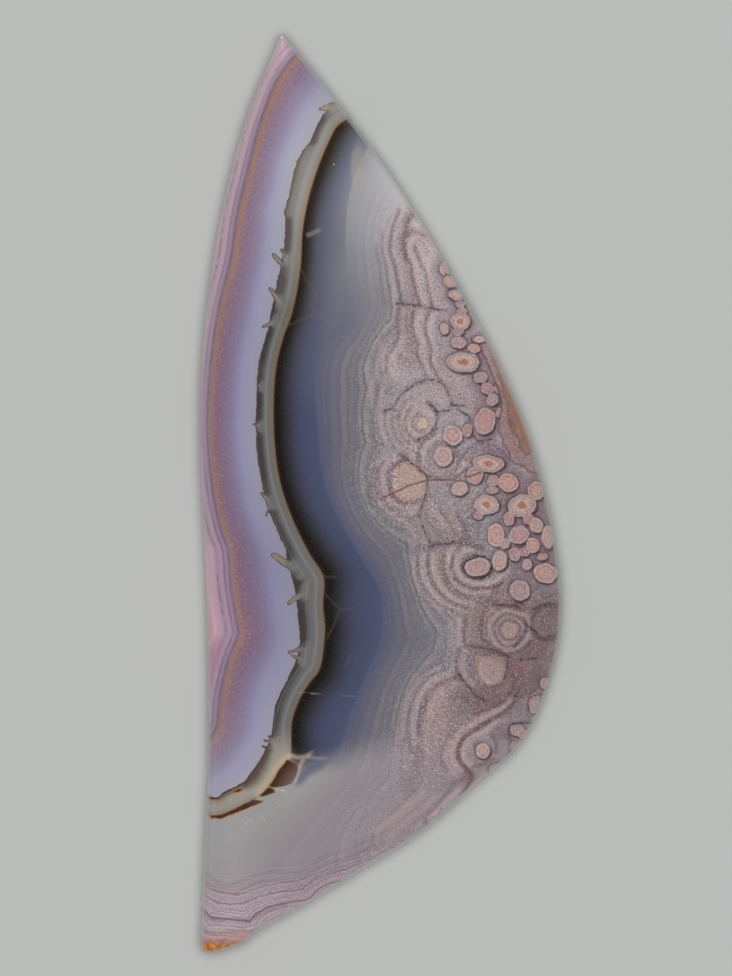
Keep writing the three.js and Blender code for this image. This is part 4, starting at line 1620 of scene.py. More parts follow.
    # White of the painted glints
    painted_glint: Colour = (232, 230, 226)
    dim_eye: Stops = (
        (0.0, (164, 134, 134)), (0.4, (156, 126, 130)), (0.55, (136, 110, 116)), (0.68, (166, 142, 144)),
        (0.8, (142, 118, 124)), (0.9, (170, 150, 152)), (1.0, (132, 112, 117)),
    )
    warm_eye: Stops = (
        (0.0, (196, 158, 146)), (0.14, (190, 150, 138)), (0.2, (162, 124, 118)), (0.28, (192, 158, 150)),
        (0.5, (180, 146, 140)), (0.6, (172, 138, 134)), (0.67, (138, 108, 108)), (0.75, (202, 180, 176)),
        (0.83, (162, 136, 134)), (0.92, (194, 172, 168)), (1.0, (146, 122, 124)),
    )
    grey_eye: Colour = (176, 156, 156)
    rosy_eye: Colour = (186, 136, 124)
    core: Colour = (158, 100, 84)
    core_ring: Colour = (196, 168, 158)
    grain_warm: Colour = (98, 70, 72)
    # A gain above white, for the painted light along the edge
    painted_rim_light: Colour = (315, 315, 315)
    crust: Colour = (130, 94, 86)
    crust_light: Colour = (160, 116, 92)
    cell: Stops = (
        (0.0, (72, 40, 18)), (0.15, (56, 34, 20)), (0.4, (80, 54, 38)), (0.7, (96, 73, 64)),
        (1.0, (112, 92, 90)),
    )
    cell_rim: Colour = (176, 114, 64)
    stripe_ground: Colour = (204, 180, 192)
    stripe_light: Colour = (206, 182, 192)
    stripe_dark: Colour = (108, 72, 94)
    foot_blush: Colour = (186, 128, 112)
    skin: Colour = (152, 86, 44)
    skin_light: Colour = (214, 146, 78)
    crust_edge: Colour = (146, 102, 78)
    crust_line: Colour = (84, 54, 48)
    husk: Colour = (148, 120, 120)
    husk_dark: Colour = (112, 88, 92)
    husk_light: Colour = (184, 160, 158)


@dataclass(frozen=True)
class Speck:
    """One tint of a grain: how far from nought it starts and is full, and how strong it is."""

    tint: Colour
    start: float
    full: float
    share: float


@dataclass(frozen=True)
class AgateLayout:
    """Where each tint comes and goes: levels laid along a number, and spans of it.

    Heights and reaches are places on the stone in mm. A span runs from where a tint starts
    to where it is full.
    """

    layer_light: Levels = ((0.0, 0.0), (0.1, 0.0), (0.22, 1.0), (0.45, 0.9), (0.85, 0.0), (1.0, 0.0))
    layer_dark: Levels = ((0.0, 1.0), (0.07, 0.9), (0.17, 0.0), (0.76, 0.0), (0.92, 0.45), (1.0, 1.0))
    dash_heights: Levels = ((-9.0, 0.0), (-7.0, 0.4), (0.0, 0.4), (5.0, 0.75))
    rind_pale_and_painted_light_heights: Levels = (
        (0.0, 0.0), (3.0, 0.2), (10.0, 0.2), (13.0, 0.16), (17.0, 0.24), (22.0, 0.42),
    )
    rind_deep_heights: Levels = ((-12.0, 0.1), (-5.0, 0.1), (2.0, 0.0))
    lilac_top_heights: Levels = ((8.0, 0.0), (13.0, 0.45), (18.0, 1.0))
    lilac_deep_heights: Levels = ((-14.0, 0.0), (-9.0, 0.1), (-4.0, 0.22), (2.0, 0.0))
    lilac_pale_heights: Levels = ((-16.5, 0.4), (-13.5, 0.16), (-11.0, 0.04), (-9.0, 0.0))
    speckle_shares: Levels = ((0.0, 1.0), (0.15, 0.8), (0.45, 0.35), (0.7, 0.06), (1.0, 0.0))
    seam_heights: Levels = ((-12.0, 0.3), (8.0, 0.3), (20.0, 0.7))
    river_top_heights: Levels = ((10.0, 0.0), (13.0, 0.55), (16.0, 1.0))
    amber_heights: Levels = ((-14.0, 0.25), (0.0, 0.3), (4.0, 0.5))
    pool_stretch_heights: Levels = ((-13.0, 0.88), (-8.0, 0.8), (-4.0, 0.82), (0.0, 1.0))
    pool_high_heights: Levels = ((4.0, 0.0), (8.0, 0.35), (12.0, 1.0))
    grey_lift_heights: Levels = (
        (3.0, 0.0), (6.0, 0.03), (8.5, 0.13), (11.0, 0.32), (13.0, 0.53), (15.0, 0.8), (17.0, 1.0),
    )
    blush_heights: Levels = ((-16.0, 0.1), (-11.0, 0.5))
    band_shares: Levels = (
        (0.0, 0.0), (0.15, 0.1), (0.4, 0.3), (0.62, 0.6), (0.82, 0.85), (0.95, 0.5), (1.0, 0.16),
    )
    sand_shares: Levels = ((0.0, 0.04), (0.35, 0.14), (0.6, 0.4), (0.85, 0.85), (1.0, 1.0))
    stripe_shares: Levels = ((-0.35, 0.0), (0.0, 0.3), (0.5, 0.7), (1.0, 1.0))
    stripe_ground_shares: Levels = ((0.2, 0.0), (0.7, 0.14), (1.0, 0.3), (1.25, 0.26), (1.6, 0.1))
    # How strongly the painted light lifts the edge, by distance from the outline: at the left, and at the
    # right
    left_rim_painted_light: Levels = (
        (0.12, 0.66), (0.18, 0.58), (0.25, 0.42), (0.35, 0.3), (0.5, 0.24), (0.7, 0.1), (1.0, 0.0),
    )
    right_rim_painted_light: Levels = (
        (0.12, 1.0), (0.25, 0.85), (0.35, 0.7), (0.5, 0.55), (0.7, 0.35), (0.9, 0.24), (1.2, 0.1),
        (1.6, 0.0),
    )
    salmon_top: Span = (0.0, -3.0)
    salmon_foot: Span = (-9.0, -7.5)
    rose_top: Span = (-7.4, -8.7)
    rose_foot: Span = (-14.5, -12.0)
    cream_height: Span = (-12.4, -14.6)
    pale_fin_height: Span = (14.0, 18.0)
    pool_top_height: Span = (13.0, 17.5)
    dusk_reach: Span = (3.8, 7.5)
    dusk_top: Span = (-3.5, -7.0)
    dusk_foot: Span = (-15.5, -12.0)
    milky_pale_reach: Span = (-5.5, -9.0)
    milky_pale_height: Span = (-16.0, -18.5)
    milky_rosy_height: Span = (-19.0, -23.5)
    clear_height: Span = (-15.0, -18.5)
    smooth_reach: Span = (4.0, 7.0)
    smooth_height: Span = (-4.0, -8.0)
    matrix_reach: Span = (5.2, 6.8)
    matrix_height: Span = (-6.5, -4.5)
    foot_blush_height: Span = (-23.7, -24.5)
    skin_height: Span = (-24.45, -24.62)
    skin_edge: float = -24.5
    # Heights where the painted edge light takes the right-hand levels
    painted_rim_light_height: Span = (4.0, 9.0)


@dataclass
class AgatePaint:
    """The colours of the stone, laid along the fields of the growth pattern.

    Each method paints one zone or one kind of marking over what it is given. A plain number
    in it is that marking's own distance or width in mm, or its share from 0 to 1.
    """

    wiring: Wiring
    hue: AgateColours = AgateColours()
    at: AgateLayout = AgateLayout()
    lamella_pitch: float = 2.4
    stripe_count: float = 11.0
    band_seed: float = 3.0
    stripe_seed: float = 17.0
    place: Socket = field(init=False)
    height: Socket = field(init=False)
    reach: Socket = field(init=False)
    grain: Socket = field(init=False)
    border: Socket = field(init=False)

    def __post_init__(self) -> None:
        """Sets up the place in mm, and the grain and the ragged border that zones share."""
        w = self.wiring
        coordinates = w.node("ShaderNodeTexCoord").outputs["Object"]
        scale = w.node("ShaderNodeVectorMath", operation="SCALE")
        w.feed(scale.inputs[0], coordinates)
        scale.inputs["Scale"].default_value = 1 / MM
        self.place = scale.outputs[0]
        split = w.node("ShaderNodeSeparateXYZ")
        w.feed(split.inputs[0], self.place)
        self.reach, self.height = split.outputs["X"], split.outputs["Y"]
        self.grain = self.cloud(10.5, 1.0, 0.7)
        self.border = w.plus(w.field("border"), w.times(self.cloud(3.0, 2.0), 0.16))

    def cloud(self, per_mm: float, detail: float = 2.0, rough: float = 0.5) -> Socket:
        """A cloudy number about nought that changes with the place."""
        return self.wiring.math("SUBTRACT", self.wiring.noise(self.place, per_mm, detail, rough), 0.5)

    def over(self, colour: object, tint: object, *shares: object) -> Socket:
        """Lays a tint over a colour, as strongly as the product of the shares."""
        return self.wiring.mix(self.wiring.times(*shares), colour, tint)

    def speckled(
        self, colour: Socket, source: Socket, light: Speck, dark: Speck, *shares: object
    ) -> Socket:
        """Lays light and dark specks over a colour.

        Args:
            colour: what the specks lie on.
            source: a cloudy number about nought.
            light: the specks where it is above nought.
            dark: the specks where it is below nought.
            shares: what both are weakened by.

        Returns:
            The speckled colour.
        """
        rise = self.wiring.rise
        colour = self.over(colour, light.tint, rise(source, light.start, light.full), light.share, *shares)
        return self.over(colour, dark.tint, rise(source, -dark.start, -dark.full), dark.share, *shares)

    def lamellae(self, phase: Socket, seed: float) -> tuple[Socket, Socket]:
        """Uneven layers along a phase: how light and how dark each place is.

        Args:
            phase: a number that grows by one for each layer.
            seed: sets how the layers crowd and how strong each one is.

        Returns:
            The light and the dark share; each layer starts dark, turns light and fades.
        """
        w = self.wiring
        drift = w.times(w.plus(w.stripes(phase, 0.33, seed), -0.5), 2.2)
        place = w.math("FRACT", w.plus(phase, drift))
        light, dark = w.levels(place, self.at.layer_light), w.levels(place, self.at.layer_dark)
        weight = w.rise(w.stripes(phase, 0.7, seed + 40.0), 0.3, 0.62)
        weight = w.plus(w.times(weight, 0.75), 0.25)
        return w.times(light, weight), w.times(dark, weight)

    def rind(self) -> Socket:
        """Fine mauve and pink bands left of the ochre seam."""
        w, hue, at = self.wiring, self.hue, self.at
        away = w.plus(w.times(w.field("seam"), -1.0), w.times(self.cloud(1.1), 0.05))
        colour = w.ramp(away, hue.rind)
        fine = w.plus(w.stripes(away, 9.0, 4.0, 0.0), -0.5)
        colour = self.over(colour, hue.rind_deep, w.rise(fine, 0.0, 0.3), 0.22)
        worn = w.rise(w.noise(self.place, 1.4, 1.0), 0.38, 0.55)
        second_line = w.times(w.line(w.plus(away, -0.46), 0.045), 0.8)
        dark_line = w.plus(w.line(w.plus(away, -0.19), 0.05), second_line)
        colour = self.over(colour, hue.rind_dash, dark_line, worn, 0.38)
        dashes = w.rise(w.noise(self.place, 2.4, 0.0), 0.44, 0.54)
        where = w.levels(self.height, at.dash_heights)
        on_face = w.plus(1.0, w.times(w.field("wall"), -1.0))
        dash_line = w.line(w.plus(away, -0.86), 0.055)
        colour = self.over(colour, hue.rind_dash, dash_line, dashes, where, on_face)
        # Pale pink, stronger to the top and towards the edge: partly the rind's own tint, partly painted
        # light that lifts the edge where the shoulder shades it
        bright = w.levels(self.height, at.rind_pale_and_painted_light_heights)
        colour = self.over(colour, hue.rind_pale_and_painted_light, bright, w.rise(away, 0.1, 0.7))
        deep = w.levels(self.height, at.rind_deep_heights)
        colour = self.over(colour, hue.rind_deep, deep, w.rise(away, 1.9, 0.2))
        salmon = w.times(w.rise(self.height, *at.salmon_top), w.rise(self.height, *at.salmon_foot))
        colour = self.over(colour, hue.salmon, salmon, w.rise(away, 1.2, 1.8), 0.6)
        rosy = w.times(w.rise(self.height, *at.rose_top), w.rise(self.height, *at.rose_foot))
        return self.over(colour, hue.rose, rosy, w.rise(away, 0.5, 1.2), 0.5)

    def lilac(self) -> Socket:
        """The speckled mauve next to the seam, which clears to pale lilac."""
        w, hue, at = self.wiring, self.hue, self.at
        share, seam = w.field("lilac"), w.field("seam")
        top = w.levels(self.height, at.lilac_top_heights)
        colour = w.mix(top, w.ramp(share, hue.lilac), w.ramp(share, hue.lilac_top))
        colour = self.over(colour, hue.lilac_deep, w.levels(self.height, at.lilac_deep_heights))
        colour = self.over(colour, hue.lilac_pale, w.levels(self.height, at.lilac_pale_heights))
        light = Speck(hue.lilac_speck, 0.02, 0.2, 0.3)
        dark = Speck(hue.lilac_dark_speck, 0.02, 0.2, 0.3)
        strength = w.levels(share, at.speckle_shares)
        colour = self.speckled(colour, self.cloud(7.0, 2.0, 0.7), light, dark, strength)
        beads = w.times(w.line(w.plus(seam, -0.13), 0.1, 0.05), w.rise(self.grain, 0.0, 0.16))
        colour = self.over(colour, hue.seam_bead, beads, 0.22)
        ochre = w.times(w.line(seam, 0.07, 0.03), w.levels(self.height, at.seam_heights))
        return self.over(colour, hue.seam, ochre)

    def river(self) -> Socket:
        """Cloudy grey-green stone between two brown lines, with shaded cells at its left."""
        w, hue, at = self.wiring, self.hue, self.at
        share, border = w.field("river"), self.border
        vein = w.times(w.field("vein"), -1.0)
        fin, fading = w.field("fin"), w.field("fin_share")
        top = w.levels(self.height, at.river_top_heights)
        body = w.plus(share, w.times(self.cloud(0.8), 0.18))
        body = w.plus(body, w.times(w.rise(fin, 0.32, 0.04), w.rise(fading, 0.2, 0.8), 0.35))
        colour = w.mix(top, w.ramp(body, hue.river), w.ramp(body, hue.river_top))
        lines = w.plus(w.stripes(vein, 4.5, 9.0, 1.0), -0.5)
        light = Speck(hue.river_light, 0.0, 0.3, 0.25)
        dark = Speck(hue.river_dark, 0.0, 0.3, 0.22)
        colour = self.speckled(colour, lines, light, dark)
        cream = w.times(w.rise(self.height, *at.cream_height), w.rise(border, 0.0, 0.45))
        colour = self.over(colour, hue.river_cream, cream, 0.9)
        streak = w.times(w.rise(fin, 0.04, -0.04), w.rise(fading, 1.0, 0.25))
        pale = w.mix(w.rise(self.height, *at.pale_fin_height), hue.fin, hue.fin_top)
        colour = self.over(colour, pale, streak, 0.85)
        colour = self.over(colour, hue.outline, w.line(fin, 0.035, 0.015), w.rise(fading, 0.95, 0.2), 0.45)
        worn = w.plus(w.times(w.rise(w.noise(self.place, 1.6, 1.0), 0.3, 0.5), 0.4), 0.05)
        colour = self.over(colour, hue.outline, w.line(w.plus(border, -0.02), 0.05, 0.02), worn)
        amber = w.mix(top, hue.amber, hue.amber_top)
        bright = w.levels(self.height, at.amber_heights)
        colour = self.over(colour, amber, w.rise(vein, 0.27, 0.14), bright)
        return self.over(colour, hue.vein, w.rise(vein, 0.06, -0.05))

    def pool(self) -> Socket:
        """The clear dark stone right of the vein, black at first and then slate blue."""
        w, hue, at = self.wiring, self.hue, self.at
        stretch = w.levels(self.height, at.pool_stretch_heights)
        away = w.plus(w.times(w.field("vein"), stretch), w.times(self.cloud(0.6), 0.12))
        high = w.levels(self.height, at.pool_high_heights)
        colour = w.mix(high, w.ramp(away, hue.pool), w.ramp(away, hue.pool_high))
        colour = w.mix(w.rise(self.height, *at.pool_top_height), colour, w.ramp(away, hue.pool_top))
        faint = w.plus(w.field("faint_vein"), w.times(self.cloud(3.0), 0.05))
        return self.over(colour, hue.faint_vein, w.rise(faint, 0.12, 0.0), 0.12)

    def grey(self) -> Socket:
        """The smoky grey right of the pool, which turns sandy towards the lobes."""
        w, hue, at = self.wiring, self.hue, self.at
        near = w.field("nearness")
        lift = w.levels(self.height, at.grey_lift_heights)
        colour = w.mix(lift, w.ramp(near, hue.grey), w.ramp(near, hue.grey_top))
        sandy = w.rise(near, 0.82, 1.0)
        blush = w.times(w.rise(self.cloud(0.45, 2.0), -0.08, 0.15), w.levels(self.height, at.blush_heights))
        lobes = self.over(w.ramp(self.height, hue.lobes), hue.blush, blush)
        dusk = w.times(w.rise(self.height, *at.dusk_top), w.rise(self.height, *at.dusk_foot))
        lobes = self.over(lobes, hue.dusk, w.rise(self.reach, *at.dusk_reach), dusk, 0.5)
        return w.mix(sandy, colour, lobes)

    def below(self, colour: Socket) -> Socket:
        """The milky stone under the pool, cream at the left and pinker at the foot."""
        w, hue, at = self.wiring, self.hue, self.at
        milky = w.ramp(w.field("nearness"), hue.milky)
        pale = w.times(w.rise(self.reach, *at.milky_pale_reach), w.rise(self.height, *at.milky_pale_height))
        milky = self.over(milky, hue.milky_pale, pale, 0.6)
        milky = self.over(milky, hue.milky_rosy, w.rise(self.height, *at.milky_rosy_height), 0.45)
        share = w.rise(w.plus(w.field("floor"), w.times(self.cloud(0.8, 3.0), 0.7)), -0.5, 1.5)
        return w.mix(share, colour, milky)

    def bands(self, colour: Socket) -> Socket:
        """Growth bands that fade in towards the lobes, with the stains, lines and grain on them."""
        w, hue, at = self.wiring, self.hue, self.at
        near = w.field("nearness")
        sway = w.plus(w.times(self.cloud(1.6, 2.0), 0.2), w.times(self.cloud(6.0, 1.0), 0.06))
        growth = w.plus(w.field("growth"), sway)
        light, dark = self.lamellae(w.times(growth, self.lamella_pitch), self.band_seed)
        patchy = w.plus(w.times(w.rise(self.cloud(0.5, 1.0), -0.15, 0.1), 0.5), 0.5)
        milky = w.times(w.rise(w.field("floor"), 0.3, 2.0), w.rise(near, 0.98, 0.85))
        strength = w.times(w.levels(near, at.band_shares), patchy, w.plus(1.0, w.times(milky, -0.65)))
        colour = self.over(colour, hue.lamella_light, light, strength, 0.5)
        colour = self.over(colour, hue.lamella_dark, dark, strength, 0.42)
        fuzz = w.times(self.cloud(5.0, 2.0), 0.09)
        for number, stain in enumerate(STAINS):
            gap = w.plus(w.field(f"stain_{number}"), w.times(fuzz, 2.0))
            shown = w.rise(gap, stain.soft / 2, -stain.soft / 2)
            colour = self.over(colour, stain.tint, shown, stain.strength)
        for tone, width, share, tint in (
            ("brown", 0.36, 0.5, hue.brown_band),
            ("pale", 0.18, 0.56, hue.lamella_rosy),
            ("dark", 0.12, 0.56, hue.lamella_dark),
        ):
            drawn = w.line(w.plus(w.field(tone + "_gap"), fuzz), width, width * 0.7)
            colour = self.over(colour, tint, drawn, w.field(tone + "_strength"), share)
        clear = w.rise(w.plus(self.height, w.times(self.reach, -0.5)), *at.clear_height)
        smooth = w.times(w.rise(self.reach, *at.smooth_reach), w.rise(self.height, *at.smooth_height))
        kept = w.plus(1.0, w.times(clear, -0.6), w.times(smooth, -0.42))
        sand = w.levels(near, at.sand_shares)
        light_sand = Speck(hue.grain_light, 0.03, 0.22, 0.48)
        dark_sand = Speck(hue.grain_dark, 0.03, 0.22, 0.58)
        return self.speckled(colour, self.grain, light_sand, dark_sand, sand, kept)

    def joins(self, colour: Socket) -> Socket:
        """Dark broken lines where two cells meet."""
        w, hue = self.wiring, self.hue
        drawn = w.line(w.plus(w.field("join"), w.times(self.cloud(4.0), 0.12)), 0.055, 0.03)
        colour = self.over(colour, hue.join, drawn, w.rise(w.noise(self.place, 6.0, 1.0), 0.3, 0.5), 0.9)
        return self.over(colour, hue.join_halo, w.rise(w.field("join"), 0.3, 0.0), 0.3)

    def matrix(self, colour: Socket) -> Socket:
        """The smooth mauve that the eyes sit in, along the right side."""
        w, hue, at = self.wiring, self.hue, self.at
        gap = w.field("eye_gap")
        right = w.rise(w.plus(self.reach, w.times(self.height, 0.25)), *at.matrix_reach)
        smooth = self.over(hue.matrix, hue.grain_light, w.rise(self.grain, 0.0, 0.3), 0.2)
        above = w.rise(self.height, *at.matrix_height)
        colour = self.over(colour, smooth, w.rise(gap, 0.7, 0.2), above, right, 0.7)
        return self.over(colour, hue.shadow, w.rise(gap, 0.22, 0.0), 0.32)

    def orb(self, ring: Socket) -> Socket:
        """The inside of an eye: its rings, its core and its grain.

        Args:
            ring: how far out a place is, 0 at the middle of its eye and 1 at the rim.

        Returns:
            The eye's colour.
        """
        w, hue = self.wiring, self.hue
        tone, core_share = w.field("eye_tone"), w.rise(w.field("eye_core"), 0.4, 0.9)
        stretched = w.times(ring, w.plus(w.times(tone, 0.24), 0.88))
        orb = w.mix(w.field("eye_warm"), w.ramp(ring, hue.dim_eye), w.ramp(stretched, hue.warm_eye))
        orb = self.over(orb, hue.grey_eye, w.rise(tone, 0.5, 1.0), 0.3)
        orb = self.over(orb, hue.rosy_eye, w.rise(tone, 0.5, 0.0), 0.3)
        fine = w.times(w.math("SINE", w.times(ring, 34.0)), core_share, 0.3)
        orb = self.over(orb, hue.shadow, w.rise(fine, 0.0, 0.3), w.rise(ring, 0.5, 0.65), 0.5)
        orb = self.over(orb, hue.core_ring, w.line(w.plus(ring, -0.52), 0.15, 0.09), core_share, 0.7)
        core = w.plus(ring, w.times(self.cloud(4.0, 1.0), 0.5))
        orb = self.over(orb, hue.core, w.rise(core, 0.38, 0.2), core_share, 0.8)
        light = Speck(hue.grain_light, 0.02, 0.22, 0.35)
        dark = Speck(hue.grain_warm, 0.04, 0.24, 0.45)
        return self.speckled(orb, self.grain, light, dark)

    def eyes(self, colour: Socket) -> Socket:
        """Small ringed orbs with pale rims, each with a soft shadow at its lower right."""
        w, hue = self.wiring, self.hue
        ragged = w.plus(w.times(self.cloud(2.0), 0.16), w.times(self.cloud(9.0), 0.14))
        gap = w.plus(w.field("eye_gap"), w.times(ragged, 0.4))
        # Painted shadow: a dark crescent at each eye's lower right, in the join colour
        colour = self.over(colour, hue.join, w.rise(w.field("eye_shade"), 0.08, -0.06), 0.7)
        orb = self.orb(w.plus(w.field("eye_ring"), ragged))
        colour = w.mix(w.rise(gap, 0.03, -0.03), colour, orb)
        dotted = w.rise(w.plus(self.cloud(2.0), w.times(self.grain, 0.6)), -0.12, 0.16)
        return self.over(colour, hue.join, w.line(w.plus(gap, -0.03), 0.05, 0.03), dotted, 0.55)

    def crust(self, colour: Socket) -> Socket:
        """The ochre crust along the right edge, in a rough grey-pink husk."""
        w, hue = self.wiring, self.hue
        ragged = w.times(self.cloud(3.5, 3.0), 0.3)
        husk = w.plus(w.field("husk"), ragged)
        crust = w.plus(w.field("crust"), ragged, 0.04)
        rough = w.mix(w.rise(self.grain, -0.2, 0.2), hue.husk_dark, hue.husk_light)
        colour = w.mix(w.rise(husk, 0.03, -0.03), colour, w.mix(0.5, hue.husk, rough))
        colour = self.over(colour, hue.shadow, w.line(husk, 0.06, 0.03), 0.6)
        ochre = w.mix(w.rise(self.cloud(1.6, 3.0), -0.2, 0.25), hue.crust, hue.crust_light)
        ochre = self.over(ochre, hue.grain_light, w.rise(self.grain, 0.0, 0.25), 0.25)
        ochre = self.over(ochre, hue.crust_edge, w.rise(w.field("rim"), 0.7, 0.2), 0.6)
        colour = w.mix(w.rise(crust, 0.03, -0.12), colour, ochre)
        return self.over(colour, hue.crust_line, w.line(crust, 0.07, 0.04), 0.45)

    def cracks(self, colour: Socket) -> Socket:
        """One long thin brown crack, and a short one beside it."""
        crack, rise = self.wiring.field("crack"), self.wiring.rise
        colour = self.over(colour, self.hue.crack_halo, rise(crack, 0.14, 0.02), 0.3)
        return self.over(colour, self.hue.crack, rise(crack, 0.075, 0.02), 0.9)

    def bend(self, colour: Socket) -> Socket:
        """Soft strokes in the river, and the brown cells with orange rims in its bend."""
        w, hue = self.wiring, self.hue
        fuzz = w.times(self.cloud(2.6, 2.0), 0.1)
        for number, wash in enumerate(RIVER_WASHES):
            gap = w.plus(w.field(f"wash_{number}"), w.times(fuzz, 0.6 + wash.half_width))
            colour = self.over(colour, wash.tint, w.rise(gap, wash.half_width, 0.0), wash.strength)
        cell, fade = w.plus(w.field("bend_cell"), fuzz), w.field("bend_fade")
        colour = self.over(colour, hue.cell_rim, w.rise(cell, 0.12, 0.0), w.rise(fade, 0.8, 0.1), 0.42)
        return self.over(colour, w.ramp(fade, hue.cell), w.rise(cell, 0.04, -0.04), 0.97)

    def specks(self, colour: Socket) -> Socket:
        """Pale hair lines, and tiny white painted glints where pits, crystals and the polish catch the
        light.
        """
        w, hue = self.wiring, self.hue
        hair = w.line(w.plus(w.field("hair"), w.times(self.cloud(1.5), 0.04)), 0.03, 0.01)
        colour = self.over(colour, hue.hair, hair, 0.16)
        return self.over(colour, hue.painted_glint, w.rise(w.field("painted_glint"), 0.045, 0.02), 0.85)

    def foot(self, colour: Socket) -> Socket:
        """Fine wavy stripes across the foot, broken up by grain."""
        w, hue, at = self.wiring, self.hue, self.at
        wander = w.plus(w.times(self.cloud(0.9), 0.2), w.times(self.cloud(4.0, 1.0), 0.07))
        along = w.plus(w.field("stripe"), wander)
        strength = w.levels(along, at.stripe_shares)
        colour = self.over(colour, hue.stripe_ground, w.levels(w.field("stripe"), at.stripe_ground_shares))
        grainy = w.plus(1.0, w.times(self.grain, 1.6))
        light, dark = self.lamellae(w.times(along, self.stripe_count), self.stripe_seed)
        colour = self.over(colour, hue.stripe_light, light, strength, 0.45, grainy)
        colour = self.over(colour, hue.stripe_dark, dark, strength, 0.8, grainy)
        light_sand = Speck(hue.grain_light, 0.0, 0.2, 0.2)
        dark_sand = Speck(hue.stripe_dark, 0.0, 0.2, 0.2)
        colour = self.speckled(colour, self.grain, light_sand, dark_sand, w.rise(along, 0.0, 0.6))
        main = w.line(w.plus(w.field("stripe"), w.times(self.cloud(3.0), 0.05), -1.0), 0.04, 0.02)
        return self.over(colour, hue.stripe_dark, main, grainy, 0.6)

    def amber_tip(self, colour: Socket) -> Socket:
        """The rough ochre skin left at the very foot."""
        w, hue, at = self.wiring, self.hue, self.at
        edge = w.plus(self.height, w.times(self.cloud(2.2, 3.0), 0.8))
        colour = self.over(colour, hue.foot_blush, w.rise(edge, *at.foot_blush_height), 0.6)
        ochre = w.mix(w.rise(self.cloud(2.6, 3.0), -0.2, 0.25), hue.skin, hue.skin_light)
        colour = w.mix(w.rise(edge, *at.skin_height), colour, ochre)
        return self.over(colour, hue.crust, w.line(w.plus(edge, -at.skin_edge), 0.09, 0.05), 0.5)

    def rim(self, colour: Socket) -> Socket:
        """Painted light: the paler edge, a lift of the colour that makes up for the shade where the rounded
        shoulder slopes away from the lamp.
        """
        w, at, gap = self.wiring, self.at, self.wiring.field("rim")
        left, right = w.levels(gap, at.left_rim_painted_light), w.levels(gap, at.right_rim_painted_light)
        upper = w.times(w.rise(w.field("pool"), 0.0, 1.0), w.rise(self.height, *at.painted_rim_light_height))
        share = w.plus(w.times(left, w.plus(1.0, w.times(upper, -1.0))), w.times(right, upper))
        return w.mix(share, colour, self.hue.painted_rim_light, blend="MULTIPLY")

    def paint(self) -> Socket:
        """The whole colour of the stone, from the deepest zone to the surface."""
        w = self.wiring
        colour = w.mix(w.rise(w.field("pool"), -0.05, 0.08), self.pool(), self.grey())
        for marking in (self.below, self.bands, self.foot, self.matrix, self.eyes, self.joins):
            colour = marking(colour)
        colour = self.cracks(self.crust(colour))
        colour = w.mix(w.rise(w.field("vein"), 0.07, -0.02), colour, self.river())
        colour = self.bend(colour)
        colour = w.mix(w.rise(self.border, 0.015, -0.015), colour, self.lilac())
        colour = w.mix(w.rise(w.field("seam"), 0.03, -0.03), colour, self.rind())
        # Then the painted glints, and last the painted light along the edge
        return self.rim(self.amber_tip(self.specks(colour)))


@dataclass(frozen=True)
class AgateFinish:
    """Polished agate: the face shines, the wall is satin and the back is ground flat."""

    polish: float = 0.12
    ground: float = 0.42
    specular: float = 0.36
    refraction: float = 1.54
    bump_height: float = 0.02
    polish_bump: float = 0.04
    ground_bump: float = 0.6
    bump_pitch: float = 7.0

    def material(self) -> bpy.types.Material:
        """The one material of the stone."""
        made = bpy.data.materials.new("agate_polish")
        made.use_nodes = True
        tree = made.node_tree
        tree.nodes.clear()
        w = Wiring(tree)
        shader = w.node("ShaderNodeBsdfPrincipled")
        output = w.node("ShaderNodeOutputMaterial")
        w.feed(output.inputs["Surface"], shader.outputs["BSDF"])
        paint = AgatePaint(w)
        w.feed(shader.inputs["Base Color"], paint.paint())
        shader.inputs["IOR"].default_value = self.refraction
        shader.inputs["Specular IOR Level"].default_value = self.specular
        matt = w.field("matt")
        rough = w.levels(matt, ((0.0, self.polish), (1.0, self.ground)))
        w.feed(shader.inputs["Roughness"], rough)
        bump = w.node("ShaderNodeBump")
        bump.inputs["Distance"].default_value = self.bump_height * MM
        strength = w.levels(matt, ((0.0, self.polish_bump), (1.0, self.ground_bump)))
        w.feed(bump.inputs["Strength"], strength)
        w.feed(bump.inputs["Height"], w.noise(paint.place, self.bump_pitch, 3.0, 0.6))
        w.feed(shader.inputs["Normal"], bump.outputs["Normal"])
        return made


# The dome, lifted by Geometry Nodes


